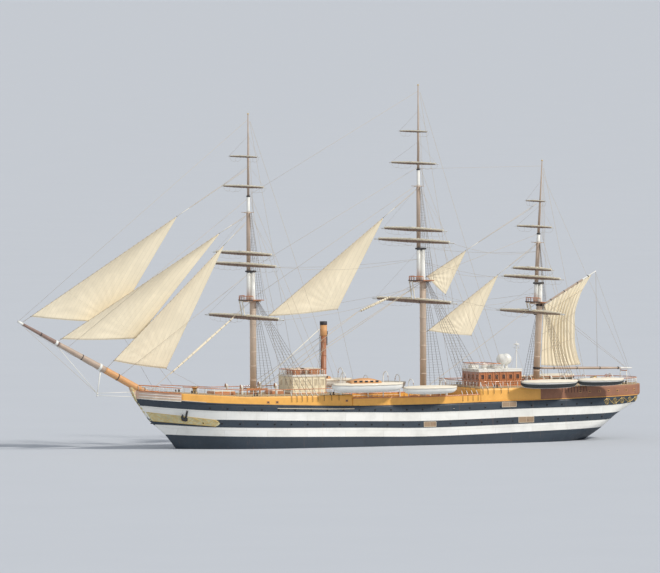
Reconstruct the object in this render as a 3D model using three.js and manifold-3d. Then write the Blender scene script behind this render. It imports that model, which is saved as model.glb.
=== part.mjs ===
// A three-masted, full-rigged tall ship, afloat under jibs, staysails and spanker, as a 1:10 scale model.
// Units are millimetres of the model: 100 mm here is one metre of the full-size ship.
// X runs to the bow, Y to port and Z up. The origin is on the centreline at the waterline,
// half way between the stem head and the taffrail.

import * as THREE from 'three';
import { mergeVertices } from 'three/addons/utils/BufferGeometryUtils.js';
import Module from 'manifold-3d';

const wasm = await Module();
wasm.setup();

// Gap that resting pieces keep, and the smaller one between a hoop and its mast
const seat = 0.3;
const hoopGap = 0.15;

// Hull stations from the counter to the stem. The keel or deadwood reaches down to heel, the body starts
// at body, the bilge has turned into the side at wall, and the side ends at the deck edge, at sheer.
// fullness shapes the bilge: 1 is a straight V, 2 an ellipse, and more than 2 is boxy.
const keelHalf = 20;
const stations = [
  // x, heel, body, wall, sheer, wallHalf, sheerHalf, fullness
  [-4170, 595, 600, 625, 662, 230, 250, 2.0],
  [-4120, 545, 550, 590, 662, 330, 360, 2.0],
  [-4030, 495, 500, 560, 660, 410, 450, 1.8],
  [-3750, 320, 325, 440, 655, 500, 560, 1.5],
  [-3430, 35, 40, 240, 650, 580, 640, 1.2],
  [-3142, -170, -165, 160, 648, 620, 675, 1.0],
  [-3140, -730, -165, 160, 648, 620, 675, 1.0],
  [-2800, -730, -420, 120, 640, 670, 710, 1.15],
  [-2300, -730, -630, 90, 633, 715, 740, 1.5],
  [-1500, -730, -700, 60, 625, 760, 760, 2.1],
  [-400, -730, -690, 40, 608, 775, 762, 2.6],
  [800, -730, -690, 50, 608, 775, 760, 2.5],
  [1800, -730, -670, 80, 630, 730, 735, 1.9],
  [2400, -695, -620, 120, 650, 620, 680, 1.45],
  [2850, -570, -490, 160, 670, 460, 610, 1.15],
  [3100, -350, -320, 220, 685, 340, 550, 1.05],
  [3350, -5, 0, 320, 705, 260, 470, 1.0],
  [3530, 215, 220, 420, 720, 190, 400, 1.0],
  [3800, 445, 450, 580, 740, 110, 260, 1.1],
  [3920, 610, 615, 680, 752, 70, 150, 1.3],
  [4010, 730, 735, 745, 760, 30, 42, 2.0],
].map(([x, heel, body, wall, sheer, wallHalf, sheerHalf, fullness]) => (
  { x, heel, body, wall, sheer, wallHalf, sheerHalf, fullness }));
const bilgeTurns = [0.26, 0.46, 0.64, 0.82, 1];
const aperture = { aft: -3090, fore: -2860, low: -645, high: -255 };

// Raised decks over the hull, and the low bulwarks of the waist between them
const forecastle = { aft: 800, knee: 2500, fore: 3450, top: 780, foreTop: 840 };
const poop = { aft: -4170, fore: -1300, top: 830, overhang: 68, overhangLow: 745, overhangHalf: 190 };
const bulwark = { height: 120, wall: 10, inset: 2 };
const deckInset = 5;
const tumblehome = 8;
const beak = { tip: 4085, top: 890, wall: 14, stemAft: 3960, stemHalf: 34, stemTop: 960 };

// Deckhouses with cut windows, under roofs that overhang them a little
const houses = {
  fore: { aft: 1020, front: 1560, half: 250, floor: 780, top: 1045, roofTop: 1068, windows: [5, 3] },
  bridge: { aft: -2200, front: -1500, half: 290, floor: 830, top: 1058, roofTop: 1095, windows: [6, 4] },
};
const house = { wall: 9, eave: 14, windowWide: 52, windowSill: 0.5, windowHead: 0.84 };
const domes = [
  // x, y, radius, centre height
  [-1700, 60, 42, 1150],
  [-1975, 90, 85, 1235],
  [-2120, -70, 85, 1232],
];
const domePost = 20;
const funnel = { x: 940, radius: 42, cap: 53, capLow: 1640, top: 1860 };
const aerial = { x: -2262, radius: 7, top: 1500, armHeight: 1400, arm: 90 };

// Bowsprit, dolphin striker and the rods that hold it
const bowsprit = { foot: [3480, 650], collar: [4570, 1250], cap: [5310, 1610], tip: [5900, 1945] };
const bowspritRadii = { foot: 55, collar: 50, cap: 34, tip: 18 };
const striker = { head: [4570, 1230], end: [4630, 820], radius: 11, guy: 4, stem: [4060, 862], spread: 24 };

// Masts from fore to mizzen, with heights above the waterline
const mastOffset = 35;
const mastSides = 16;
const lowerSides = 18;
const lowerRadius = 48;
const headRadius = 34;
const topmastRadius = 30;
const topgallantRadius = 18;
const truckRadius = 7;
const lowerTaper = 3;
const masts = [
  // name, x at the deck, deck, rake aft, top, lower cap, crosstrees, upper cap, truck, top's reach aft
  ['fore', 2130, 780, 0, 2200, 2640, 3510, 3760, 4990, 110],
  ['main', -670, 614.5, 0, 2450, 2940, 3870, 4130, 5400, 110],
  ['mizzen', -2550, 830, 3.1, 2090, 2390, 2990, 3130, 4240, 30],
].map(([name, x, deck, rake, top, lowerCap, crosstrees, upperCap, truck, topAft]) => (
  { name, x, deck, rake, top, lowerCap, crosstrees, upperCap, truck, topAft }));
const platform = { half: 170, front: 150, thick: 12 };
const treeSize = { half: 130, aft: 40, front: 60, thick: 9 };
const capThick = 26;
const truss = { pin: 8, height: 46, lug: 14 };

// Yards: height above the waterline, full length and radius at the middle
const yardAhead = 76;
const hoopWall = 7;
const hoopHeight = 18;
const yardNames = ['lower_yard', 'lower_topsail_yard', 'upper_topsail_yard', 'topgallant_yard', 'royal_yard'];
const yards = {
  fore: [[1940, 2900, 27], [2720, 2650, 22], [2890, 2280, 21], [3890, 1650, 15], [4340, 1150, 11]],
  main: [[2140, 3000, 28], [3040, 2850, 23], [3210, 2350, 22], [4210, 1770, 15], [4690, 1100, 11]],
  mizzen: [[1930, 2400, 22], [2450, 2200, 19], [2580, 1500, 17], [3220, 1350, 12], [3610, 750, 9]],
};
const yardTaper = [[0, 0.42], [0.18, 0.74], [0.4, 1], [0.6, 1], [0.82, 0.74], [1, 0.42]];

// Fore-and-aft sails: tack and head as [x, z] and clew as [x, z, y], with the stay that carries the luff.
// The clews are sheeted to starboard, so that each sail passes clear of the next one's stay.
const sailThick = 4;
const stayRadius = 3;
const headBoard = 16;
const staysails = [
  // name, stay low end, stay high end, tack, head, clew, belly
  ['flying_jib', [5850, 1915], [2165, 4180], [5690, 2013], [3330, 3464], [4240, 1900, -235], 90],
  ['outer_jib', [5310, 1610], [2165, 3485], [5210, 1670], [2640, 3202], [3890, 1650, -215], 80],
  ['inner_jib', [4490, 1210], [2165, 3400], [4360, 1332], [2570, 3018], [3430, 1190, -190], 70],
  ['main_topmast_staysail', [2095, 1765], [-635, 3845], [1850, 1952], [-50, 3400], [640, 2030, -150], 80],
  ['mizzen_topgallant_staysail', [-705, 2470], [-2610, 3580], [-770, 2508], [-1420, 2886], [-1100, 2230, -40], 40],
  ['mizzen_staysail', [-705, 1630], [-2610, 2975], [-790, 1690], [-1950, 2509], [-1540, 1600, -70], 50],
];
const spankerSail = { tack: [-2672, 1135], throat: [-2724, 2030], peak: [-3530, 2500], clew: [-3340, 1130] };
const spankerBelly = 45;
const boom = { heel: [-2600, 1090], end: [-4200, 1062], radius: 19 };
const gaff = { heel: [-2640, 2045], end: [-3600, 2545], radius: 14 };
const lowerStays = [
  // name, foot as [x, y, z], head as [x, z]
  ['fore_stay', [[3760, 0, 880]], [2130, 2180]],
  ['main_stay', [[2060, 130, 783], [2060, -130, 783]], [-690, 2420]],
  ['mizzen_stay', [[-705, 0, 800]], [-2580, 2060]],
];

// Boats in pairs along each side, hung from arched davits
const boatPairs = [
  ['forward', [
    // aft end, fore end, centre y, keel, gunwale, half-breadth, cover, davit top
    [60, 1220, 920, 820, 940, 140, 95, 1130],
    [-830, 50, 920, 775, 870, 125, 32, 1010]]],
  ['after', [
    [-2840, -1900, 920, 820, 920, 128, 32, 1022],
    [-3640, -2870, 865, 840, 930, 120, 30, 1022]]],
];
const boatPlan = [
  // part of the length, part of the half-breadth, part of the depth that the keel rises
  [0, 0.1, 0.6], [0.07, 0.5, 0.22], [0.25, 0.88, 0.05], [0.5, 1, 0], [0.75, 0.88, 0.05], [0.93, 0.5, 0.22],
  [1, 0.1, 0.6]];
const davit = { width: 16, thick: 14, inboard: 30, reachEnd: 20, at: [0.2, 0.8], fall: 4, spar: 5, sparHeight: 90 };

// Ground tackle, rudder and propeller
const anchorPlace = { x: 3350, z: 450, sideY: 336, flare: 28.6, thick: 26 };
const anchorOutline = [[-9, 150], [9, 150], [12, 30], [42, 25], [58, 88], [74, 32], [56, -14], [0, -30],
  [-56, -14], [-74, 32], [-58, 88], [-42, 25], [-12, 30]];
const rudder = { axis: -3163, stock: 18, thick: 14, low: -700, high: -168.3 };
const rudderOutline = [[-3163, -700], [-3480, -690], [-3560, -420], [-3500, -100], [-3163, -205]];
const propeller = { x: -2930, z: -450, radius: 180, hub: 40, hubLength: 130, blades: 4, blade: [52, 7], pitch: 35 };

// Colours of the finished ship
const paint = {
  black: 0x22252b, ochre: 0xc98b45, buff: 0xd6a271, white: 0xe9e6dd, canvas: 0xe2d2b0, timber: 0xa9713f,
  wire: 0xc9c4b8, steel: 0x5d6066, bronze: 0xa98348, varnish: 0xa8552c,
};
const finishes = Object.fromEntries(Object.entries(paint).map(([name, color]) => (
  [name, new THREE.MeshStandardMaterial({ color, roughness: 0.6, metalness: name === 'bronze' ? 0.9 : 0 })])));

const ship = new THREE.Group();

function addMesh(name, geometry, finish, parent = ship) {
  const mesh = new THREE.Mesh(geometry, finishes[finish]);
  mesh.name = name;
  parent.add(mesh);
  return mesh;
}

// Turns a closed geometry right side out, by the sign of its volume
function outward(geometry) {
  const place = geometry.attributes.position;
  const order = geometry.index.array;
  const [a, b, c] = [new THREE.Vector3(), new THREE.Vector3(), new THREE.Vector3()];
  let volume = 0;
  for (let i = 0; i < order.length; i += 3) {
    a.fromBufferAttribute(place, order[i]);
    b.fromBufferAttribute(place, order[i + 1]);
    c.fromBufferAttribute(place, order[i + 2]);
    volume += a.dot(b.cross(c));
  }
  if (volume > 0) return geometry;
  const flipped = Array.from(order);
  for (let i = 0; i < flipped.length; i += 3) {
    [flipped[i + 1], flipped[i + 2]] = [flipped[i + 2], flipped[i + 1]];
  }
  geometry.setIndex(flipped);
  return geometry;
}

// Merges the shared vertices of a closed geometry and drops the slivers at its poles
function closed(geometry) {
  const bare = geometry.clone();
  bare.deleteAttribute('normal');
  bare.deleteAttribute('uv');
  const merged = mergeVertices(bare, 1e-3);
  const order = merged.index.array;
  const kept = [];
  for (let i = 0; i < order.length; i += 3) {
    const [a, b, c] = [order[i], order[i + 1], order[i + 2]];
    if (a !== b && b !== c && c !== a) kept.push(a, b, c);
  }
  merged.setIndex(kept);
  return outward(merged);
}

function solidOf(geometry) {
  const shape = closed(geometry);
  return new wasm.Manifold(new wasm.Mesh({
    numProp: 3,
    vertProperties: Float32Array.from(shape.attributes.position.array),
    triVerts: Uint32Array.from(shape.index.array),
  }));
}

function geometryOf(solid) {
  const mesh = solid.getMesh();
  const geometry = new THREE.BufferGeometry();
  geometry.setAttribute('position', new THREE.BufferAttribute(Float32Array.from(mesh.vertProperties), 3));
  geometry.setIndex(Array.from(mesh.triVerts));
  return geometry;
}

// Joins solids into one and cuts others away from it
function joined(parts, cuts = []) {
  const whole = parts.map(solidOf).reduce((sum, next) => sum.add(next));
  return geometryOf(cuts.map(solidOf).reduce((rest, next) => rest.subtract(next), whole));
}

// A skin over rings of equal point counts, with flat ends
function loft(rings) {
  const count = rings[0].length;
  const index = [];
  for (let r = 0; r + 1 < rings.length; r += 1) {
    for (let k = 0; k < count; k += 1) {
      const a = r * count + k;
      const b = r * count + ((k + 1) % count);
      index.push(a, b, b + count, a, b + count, a + count);
    }
  }
  for (const [ring, first, sign] of [[rings[0], 0, -1], [rings.at(-1), (rings.length - 1) * count, 1]]) {
    const contour = ring.map(([, y, z]) => new THREE.Vector2(y, z));
    const turn = Math.sign(THREE.ShapeUtils.area(contour)) * sign;
    for (const [a, b, c] of THREE.ShapeUtils.triangulateShape(contour.map((p) => p.clone()), [])) {
      const same = Math.sign(THREE.ShapeUtils.area([contour[a], contour[b], contour[c]])) === turn;
      index.push(first + a, first + (same ? b : c), first + (same ? c : b));
    }
  }
  const geometry = new THREE.BufferGeometry();
  geometry.setAttribute('position', new THREE.Float32BufferAttribute(rings.flat(2), 3));
  geometry.setIndex(index);
  return outward(geometry);
}

// A ring across the ship at x, from one side's [half-breadth, height] points and their mirror images
function mirroredRing(x, side) {
  const port = side.map(([y, z]) => [x, y, z]);
  const starboard = side.map(([y, z]) => [x, -y, z]).reverse();
  return [...port, ...starboard];
}

function box(x1, x2, y1, y2, z1, z2) {
  return new THREE.BoxGeometry(x2 - x1, y2 - y1, z2 - z1).translate((x1 + x2) / 2, (y1 + y2) / 2, (z1 + z2) / 2);
}

// A shape turned about the Z axis from [radius, height] points
function turned(profile, sides = mastSides, grow = 0) {
  const low = profile[0][1] - grow;
  const high = profile.at(-1)[1] + grow;
  const outline = profile.map(([radius, height]) => new THREE.Vector2(radius + grow, height));
  outline[0].y = low;
  outline.at(-1).y = high;
  const points = [new THREE.Vector2(0, low), ...outline, new THREE.Vector2(0, high)];
  return new THREE.LatheGeometry(points, sides).rotateX(Math.PI / 2);
}

// A hoop about the Z axis, large enough to turn on a many-sided mast of the given radius
function hoop(mastRadius, middle, height = hoopHeight, wall = hoopWall, sides = mastSides) {
  const inner = (mastRadius + hoopGap) / Math.cos(Math.PI / sides);
  const [low, high] = [middle - height / 2, middle + height / 2];
  const corners = [[inner, low], [inner + wall, low], [inner + wall, high], [inner, high], [inner, low]];
  const outline = corners.map(([radius, z]) => new THREE.Vector2(radius, z));
  return new THREE.LatheGeometry(outline, sides).rotateX(Math.PI / 2);
}

// A round spar from a to b, its radius given at parts of its length
function spar(a, b, radii, sides = 8, grow = 0) {
  const from = new THREE.Vector3(...a);
  const along = new THREE.Vector3(...b).sub(from);
  const profile = radii.map(([part, radius]) => [radius, part * along.length()]);
  const geometry = turned(profile, sides, grow);
  const turn = new THREE.Quaternion().setFromUnitVectors(new THREE.Vector3(0, 0, 1), along.clone().normalize());
  return geometry.applyQuaternion(turn).translate(...a);
}

function rod(a, b, radius = stayRadius) {
  return spar(a, b, [[0, radius], [1, radius]], 6);
}

// A flat outline in X and Z, given its thickness across the ship
function slab(outline, thick) {
  const shape = new THREE.Shape(outline.map(([x, z]) => new THREE.Vector2(x, z)));
  const geometry = new THREE.ExtrudeGeometry(shape, { depth: thick, bevelEnabled: false });
  return geometry.rotateX(Math.PI / 2).translate(0, thick / 2, 0);
}

// Height and half-breadth of the deck edge at x, between the stations
function edgeAt(x) {
  const next = Math.min(Math.max(stations.findIndex((s) => s.x >= x), 1), stations.length - 1);
  const [a, b] = [stations[next - 1], stations[next]];
  const part = (x - a.x) / (b.x - a.x);
  return { sheer: a.sheer + part * (b.sheer - a.sheer), half: a.sheerHalf + part * (b.sheerHalf - a.sheerHalf) };
}

function deckAt(x) {
  if (x > forecastle.knee) {
    const part = (x - forecastle.knee) / (forecastle.fore - forecastle.knee);
    return forecastle.top + part * (forecastle.foreTop - forecastle.top);
  }
  if (x > forecastle.aft) return forecastle.top;
  return x < poop.fore ? poop.top : edgeAt(x).sheer;
}

// Ends of a run along the deck edge, with the hull's own stations and any other breaks between them
function runOf(from, to, breaks = []) {
  const between = [...stations.map((s) => s.x), ...breaks].filter((x) => x > from && x < to);
  return [from, ...between.sort((a, b) => a - b), to];
}

function hullSection(s) {
  const side = [[keelHalf, s.heel], [keelHalf, s.body]];
  for (const turn of bilgeTurns) {
    const angle = turn * Math.PI / 2;
    const out = Math.sin(angle) ** (2 / s.fullness);
    const up = 1 - Math.cos(angle) ** (2 / s.fullness);
    side.push([keelHalf + out * (s.wallHalf - keelHalf), s.body + up * (s.wall - s.body)]);
  }
  side.push([s.sheerHalf, s.sheer]);
  return mirroredRing(s.x, side);
}

const hullShape = loft(stations.map(hullSection));
const hullAbove = hullShape.clone().translate(0, 0, seat);
const opening = box(aperture.aft, aperture.fore, -600, 600, aperture.low, aperture.high);
addMesh('hull', joined([hullShape], [opening]), 'black');

function raisedDeck(xs, topOf) {
  return xs.map((x) => {
    const edge = edgeAt(x);
    const half = edge.half - deckInset;
    return mirroredRing(x, [[half, edge.sheer + seat], [half - tumblehome, topOf(x)]]);
  });
}

addMesh('forecastle', loft(raisedDeck(runOf(forecastle.aft, forecastle.fore, [forecastle.knee]),
  (x) => deckAt(Math.max(x, forecastle.aft + 1)))), 'ochre');

const sternRing = mirroredRing(poop.aft - poop.overhang,
  [[poop.overhangHalf, poop.overhangLow], [poop.overhangHalf, poop.top]]);
addMesh('poop', loft([sternRing, ...raisedDeck(runOf(poop.aft, poop.fore), () => poop.top)]), 'ochre');

function wallRun(xs, side, wall, inset, topOf) {
  return loft(xs.map((x) => {
    const edge = edgeAt(x);
    const outer = side * (edge.half - inset);
    const inner = side * (edge.half - inset - wall);
    const [low, high] = [edge.sheer + seat, topOf(x, edge)];
    return [[x, outer, low], [x, outer, high], [x, inner, high], [x, inner, low]];
  }));
}

for (const [name, side] of [['port', 1], ['starboard', -1]]) {
  const run = runOf(poop.fore + seat, forecastle.aft - seat);
  const wall = wallRun(run, side, bulwark.wall, bulwark.inset, (x, edge) => edge.sheer + bulwark.height);
  addMesh(`waist_bulwark_${name}`, wall, 'ochre');
}

// The bowsprit rises through the head of the ship and beds on the stem
const spritPoint = ([x, z]) => [x, 0, z];
const spritLength = Math.hypot(bowsprit.tip[0] - bowsprit.foot[0], bowsprit.tip[1] - bowsprit.foot[1]);
const spritPart = (place) => (place[0] - bowsprit.foot[0]) / (bowsprit.tip[0] - bowsprit.foot[0]);
const spritRadii = Object.keys(bowspritRadii).map((key) => [spritPart(bowsprit[key]), bowspritRadii[key]]);
const spritShape = (grow) => spar(spritPoint(bowsprit.foot), spritPoint(bowsprit.tip), spritRadii, 12, grow);
const spritFat = spritShape(seat);
const behindHead = box(3000, forecastle.fore + seat, -200, 200, 400, 900);
addMesh('bowsprit', joined([spritShape(0)], [hullAbove, behindHead]), 'buff');

function headTop(x) {
  return forecastle.foreTop + (x - forecastle.fore) / (beak.tip - forecastle.fore) * (beak.top - forecastle.foreTop);
}
const headWalls = [1, -1].map((side) => wallRun(runOf(forecastle.fore + seat, stations.at(-1).x), side, beak.wall,
  bulwark.inset, headTop));
const stemOutline = [[beak.stemAft, 762], [4012, 764], [4075, 850], [4105, 930], [4090, beak.stemTop],
  [4020, beak.stemTop], [beak.stemAft, 900]];
const stemBlock = slab(stemOutline, 2 * beak.stemHalf);
const beakShape = joined([...headWalls, stemBlock], [spritFat, hullAbove]);
addMesh('beakhead', beakShape, 'ochre');

const strikerEnd = spritPoint(striker.end);
const strikerParts = [
  rod(spritPoint(striker.head), [striker.end[0] + 4, 0, striker.end[1] - 18], striker.radius),
  rod(spritPoint(bowsprit.cap), strikerEnd, striker.guy),
  rod(strikerEnd, [striker.stem[0], striker.spread, striker.stem[1]], striker.guy),
  rod(strikerEnd, [striker.stem[0], -striker.spread, striker.stem[1]], striker.guy),
];
const stemFat = slab(stemOutline.map(([x, z]) => [x + seat, z]), 2 * (beak.stemHalf + seat));
addMesh('dolphin_striker', joined(strikerParts, [spritFat, stemFat]), 'white');

// Hollow deckhouses: a wall all round with its windows cut through
for (const [name, h] of Object.entries(houses)) {
  const low = h.floor + seat;
  const sill = low + house.windowSill * (h.top - low);
  const head = low + house.windowHead * (h.top - low);
  const cuts = [box(h.aft + house.wall, h.front - house.wall, house.wall - h.half, h.half - house.wall, low - 5,
    h.top + 5)];
  const [along, across] = h.windows;
  for (let i = 0; i < along; i += 1) {
    const x = h.aft + (i + 0.5) / along * (h.front - h.aft);
    cuts.push(box(x - house.windowWide / 2, x + house.windowWide / 2, -h.half - 5, h.half + 5, sill, head));
  }
  for (let i = 0; i < across; i += 1) {
    const y = ((i + 0.5) / across * 2 - 1) * h.half;
    cuts.push(box(h.aft - 5, h.front + 5, y - house.windowWide / 2, y + house.windowWide / 2, sill, head));
  }
  addMesh(`${name}_house`, joined([box(h.aft, h.front, -h.half, h.half, low, h.top)], cuts), 'varnish');
  const roof = [box(h.aft - house.eave, h.front + house.eave, -h.half - house.eave, h.half + house.eave,
    h.top + seat, h.roofTop)];
  if (name === 'bridge') {
    for (const [x, y, radius, z] of domes) {
      roof.push(new THREE.SphereGeometry(radius, 12, 8).rotateX(Math.PI / 2).translate(x, y, z));
      roof.push(rod([x, y, h.roofTop - 5], [x, y, z], domePost));
    }
  }
  addMesh(`${name}_house_roof`, joined(roof), 'white');
}

const funnelFoot = forecastle.top + seat;
addMesh('funnel', turned([[funnel.radius + 12, funnelFoot], [funnel.radius + 12, funnelFoot + 14],
  [funnel.radius, funnelFoot + 30], [funnel.radius, funnel.capLow], [funnel.cap, funnel.capLow + 15],
  [funnel.cap, funnel.top]]).translate(funnel.x, 0, 0), 'buff');

const aerialFoot = poop.top + seat;
addMesh('aerial_mast', joined([
  rod([aerial.x, 0, aerialFoot], [aerial.x, 0, aerial.top], aerial.radius),
  rod([aerial.x, 0, aerialFoot], [aerial.x, 0, aerialFoot + 12], aerial.radius * 3),
  rod([aerial.x, -aerial.arm, aerial.armHeight], [aerial.x, aerial.arm, aerial.armHeight], aerial.radius * 0.7),
]), 'white');

// Masts stand in groups of their own, so that the mizzen's rake carries its mast and yards along.
// In a group, z is the height above the deck and x is measured from the mast's place on it.
const rigs = {};
for (const mast of masts) {
  const group = new THREE.Group();
  group.position.set(mast.x, 0, mast.deck);
  group.rotation.y = -THREE.MathUtils.degToRad(mast.rake);
  ship.add(group);
  group.updateMatrixWorld(true);
  rigs[mast.name] = group;

  const up = (height) => (height - mast.deck) / Math.cos(group.rotation.y);
  const foot = seat + (mastOffset + lowerRadius) * Math.abs(Math.tan(group.rotation.y));
  const lower = (grow) => turned([[lowerRadius, foot], [lowerRadius, up(mast.top) - 60],
    [lowerRadius - lowerTaper, up(mast.top)], [headRadius, up(mast.top) + 20],
    [headRadius, up(mast.lowerCap)]], lowerSides, grow).translate(-mastOffset, 0, 0);
  const topmast = (grow) => turned([[topmastRadius, up(mast.top) + platform.thick / 2 + seat],
    [topmastRadius, up(mast.upperCap)]], mastSides, grow).translate(mastOffset, 0, 0);
  const topgallant = (grow) => turned([[topgallantRadius, up(mast.upperCap) + seat],
    [topgallantRadius, up(yards[mast.name][4][0]) + 30], [truckRadius, up(mast.truck) - 16],
    [2 * truckRadius, up(mast.truck) - 12], [2 * truckRadius, up(mast.truck)]],
    mastSides, grow).translate(mastOffset, 0, 0);

  const top = up(mast.top);
  const platformShape = new THREE.Shape();
  platformShape.moveTo(-mastOffset - mast.topAft, -platform.half);
  platformShape.lineTo(mastOffset, -platform.half);
  platformShape.absellipse(mastOffset, 0, platform.front, platform.half, -Math.PI / 2, Math.PI / 2, false);
  platformShape.lineTo(-mastOffset - mast.topAft, platform.half);
  const deck = new THREE.ExtrudeGeometry(platformShape, { depth: platform.thick, bevelEnabled: false,
    curveSegments: 8 }).translate(0, 0, top - platform.thick / 2);
  const cap = box(-mastOffset - headRadius - 8, mastOffset + topmastRadius + 10, -headRadius - 8, headRadius + 8,
    up(mast.lowerCap) - capThick, up(mast.lowerCap));
  const yardHeight = up(yards[mast.name][0][0]);
  const pin = rod([mastOffset, 0, yardHeight - truss.height / 2 - truss.lug],
    [mastOffset, 0, yardHeight + truss.height / 2 + truss.lug], truss.pin);
  const lugs = [-1, 1].map((end) => {
    const middle = yardHeight + end * (truss.height + truss.lug) / 2;
    return box(-mastOffset, mastOffset + truss.pin + 4, -14, 14, middle - truss.lug / 2, middle + truss.lug / 2);
  });
  addMesh(`${mast.name}_lower_mast`, joined([lower(0), deck, cap, pin, ...lugs], [topmast(seat)]), 'buff', group);

  const trees = box(mastOffset - treeSize.aft, mastOffset + treeSize.front, -treeSize.half, treeSize.half,
    up(mast.crosstrees) - treeSize.thick / 2, up(mast.crosstrees) + treeSize.thick / 2);
  addMesh(`${mast.name}_topmast`, joined([topmast(0), trees]), 'buff', group);
  addMesh(`${mast.name}_topgallant_mast`, closed(topgallant(0)), 'buff', group);

  yards[mast.name].forEach(([height, length, radius], row) => {
    const z = up(height);
    const middle = mastOffset + yardAhead;
    const yard = spar([middle, -length / 2, z], [middle, length / 2, z],
      yardTaper.map(([part, share]) => [part, share * radius]));
    const poleRadius = [truss.pin, topmastRadius, topmastRadius, topgallantRadius, topgallantRadius][row];
    const height2 = row ? hoopHeight : truss.height - 2;
    const ring = hoop(poleRadius, z, height2);
    ring.translate(mastOffset, 0, 0);
    const arm = box(mastOffset + poleRadius + hoopWall / 2 + 1, middle, -9, 9, z - 7, z + 7);
    addMesh(`${mast.name}_${yardNames[row]}`, joined([yard, ring, arm]), 'timber', group);
  });

  mast.fat = [lower(seat), topmast(seat), topgallant(seat), deck.clone(), trees.clone()].map((shape) => (
    shape.applyMatrix4(group.matrixWorld)));
}
const [foreFat, mainFat, mizzenFat] = masts.map((mast) => mast.fat);

// Stays that carry no set sail
for (const [name, feet, head] of lowerStays) {
  const legs = feet.map((foot) => rod(foot, spritPoint(head), stayRadius));
  addMesh(name, joined(legs, [spritFat, ...foreFat, ...mainFat, ...mizzenFat]), 'wire');
}

// A thin curved plate over a grid of points, as thick as the given size across the ship
function plate(pointAt, columns, rows, thick) {
  const positions = [];
  const index = [];
  const id = (face, c, r) => (face * (rows + 1) + r) * (columns + 1) + c;
  for (const face of [0, 1]) {
    for (let r = 0; r <= rows; r += 1) {
      for (let c = 0; c <= columns; c += 1) {
        const [x, y, z] = pointAt(c / columns, r / rows);
        positions.push(x, y + (face ? -thick / 2 : thick / 2), z);
      }
    }
  }
  for (let r = 0; r < rows; r += 1) {
    for (let c = 0; c < columns; c += 1) {
      const [a, b, d, e] = [id(0, c, r), id(0, c + 1, r), id(0, c + 1, r + 1), id(0, c, r + 1)];
      index.push(a, b, d, a, d, e);
      const [a2, b2, d2, e2] = [id(1, c, r), id(1, c + 1, r), id(1, c + 1, r + 1), id(1, c, r + 1)];
      index.push(a2, d2, b2, a2, e2, d2);
    }
  }
  const rim = [];
  for (let c = 0; c < columns; c += 1) rim.push([c, 0]);
  for (let r = 0; r < rows; r += 1) rim.push([columns, r]);
  for (let c = columns; c > 0; c -= 1) rim.push([c, rows]);
  for (let r = rows; r > 0; r -= 1) rim.push([0, r]);
  rim.forEach(([c, r], i) => {
    const [c2, r2] = rim[(i + 1) % rim.length];
    const [p, q, p2, q2] = [id(0, c, r), id(0, c2, r2), id(1, c, r), id(1, c2, r2)];
    index.push(q, p, p2, q, p2, q2);
  });
  const geometry = new THREE.BufferGeometry();
  geometry.setAttribute('position', new THREE.Float32BufferAttribute(positions, 3));
  geometry.setIndex(index);
  return outward(geometry);
}

// A sail between four corners as [x, z], its clew drawn out to y, and bellied to starboard in the middle
function sail(tack, throat, peak, clew, belly) {
  const clewY = clew[2] ?? 0;
  const pointAt = (out, up) => {
    const along = [0, 1].map((i) => (
      (1 - out) * ((1 - up) * tack[i] + up * throat[i]) + out * ((1 - up) * clew[i] + up * peak[i])));
    const swell = belly * Math.sin(Math.PI * out) * Math.sin(Math.PI * Math.min(1, up * 0.9 + 0.1));
    return [along[0], out * (1 - up) * clewY - swell, along[1]];
  };
  return plate(pointAt, 5, 7, sailThick);
}

for (const [name, low, high, tack, head, clew, belly] of staysails) {
  const toClew = new THREE.Vector2(clew[0] - head[0], clew[1] - head[1]).setLength(headBoard);
  const cloth = sail(tack, head, [head[0] + toClew.x - headBoard / 2, head[1] + toClew.y], clew, belly);
  const parts = [cloth, rod(spritPoint(low), spritPoint(high))];
  addMesh(name, joined(parts, [spritFat, ...foreFat, ...mainFat, ...mizzenFat]), 'canvas');
}

// Spanker with its gaff and boom, turning about the raked mizzen lower mast
const mizzen = masts[2];
const toMizzen = rigs.mizzen.matrixWorld.clone().invert();
const mizzenPoint = ([x, z]) => new THREE.Vector3(x, 0, z).applyMatrix4(toMizzen).toArray();
const spankerGroup = new THREE.Group();
spankerGroup.position.copy(rigs.mizzen.position);
spankerGroup.rotation.copy(rigs.mizzen.rotation);
ship.add(spankerGroup);
const swingSpars = [['spanker_boom', boom, 0.5], ['spanker_gaff', gaff, 0.55]].map(([name, piece, tipShare]) => {
  const heel = mizzenPoint(piece.heel);
  const end = mizzenPoint(piece.end);
  const ring = hoop(lowerRadius, heel[2], 24, 9, lowerSides).translate(-mastOffset, 0, 0);
  const hub = -mastOffset - lowerRadius - 5;
  const radii = [[0, piece.radius * 0.8], [0.3, piece.radius], [0.6, piece.radius], [1, piece.radius * tipShare]];
  const start = [hub, 0, heel[2]];
  addMesh(name, joined([spar(start, end, radii), ring]), 'timber', spankerGroup);
  return spar(start, end, radii, 8, seat);
});
const corners = [spankerSail.tack, spankerSail.throat, spankerSail.peak, spankerSail.clew].map((corner) => {
  const [x, , z] = mizzenPoint(corner);
  return [x, z];
});
addMesh('spanker', joined([sail(...corners, spankerBelly)], swingSpars), 'canvas', spankerGroup);

function boatRings(aft, fore, y, keel, gunwale, half, cover) {
  return boatPlan.map(([part, breadth, rise]) => {
    const x = aft + part * (fore - aft);
    const b = half * breadth;
    const low = keel + rise * (gunwale - keel);
    const turn = low + 0.35 * (gunwale - low);
    const [rim, crown] = [gunwale + 0.12 * rise * (gunwale - keel), cover * breadth];
    return [[x, y, low], [x, y + 0.72 * b, turn], [x, y + b, rim], [x, y + 0.6 * b, rim + 0.8 * crown],
      [x, y, rim + crown + 1], [x, y - 0.6 * b, rim + 0.8 * crown], [x, y - b, rim], [x, y - 0.72 * b, turn]];
  });
}

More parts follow.
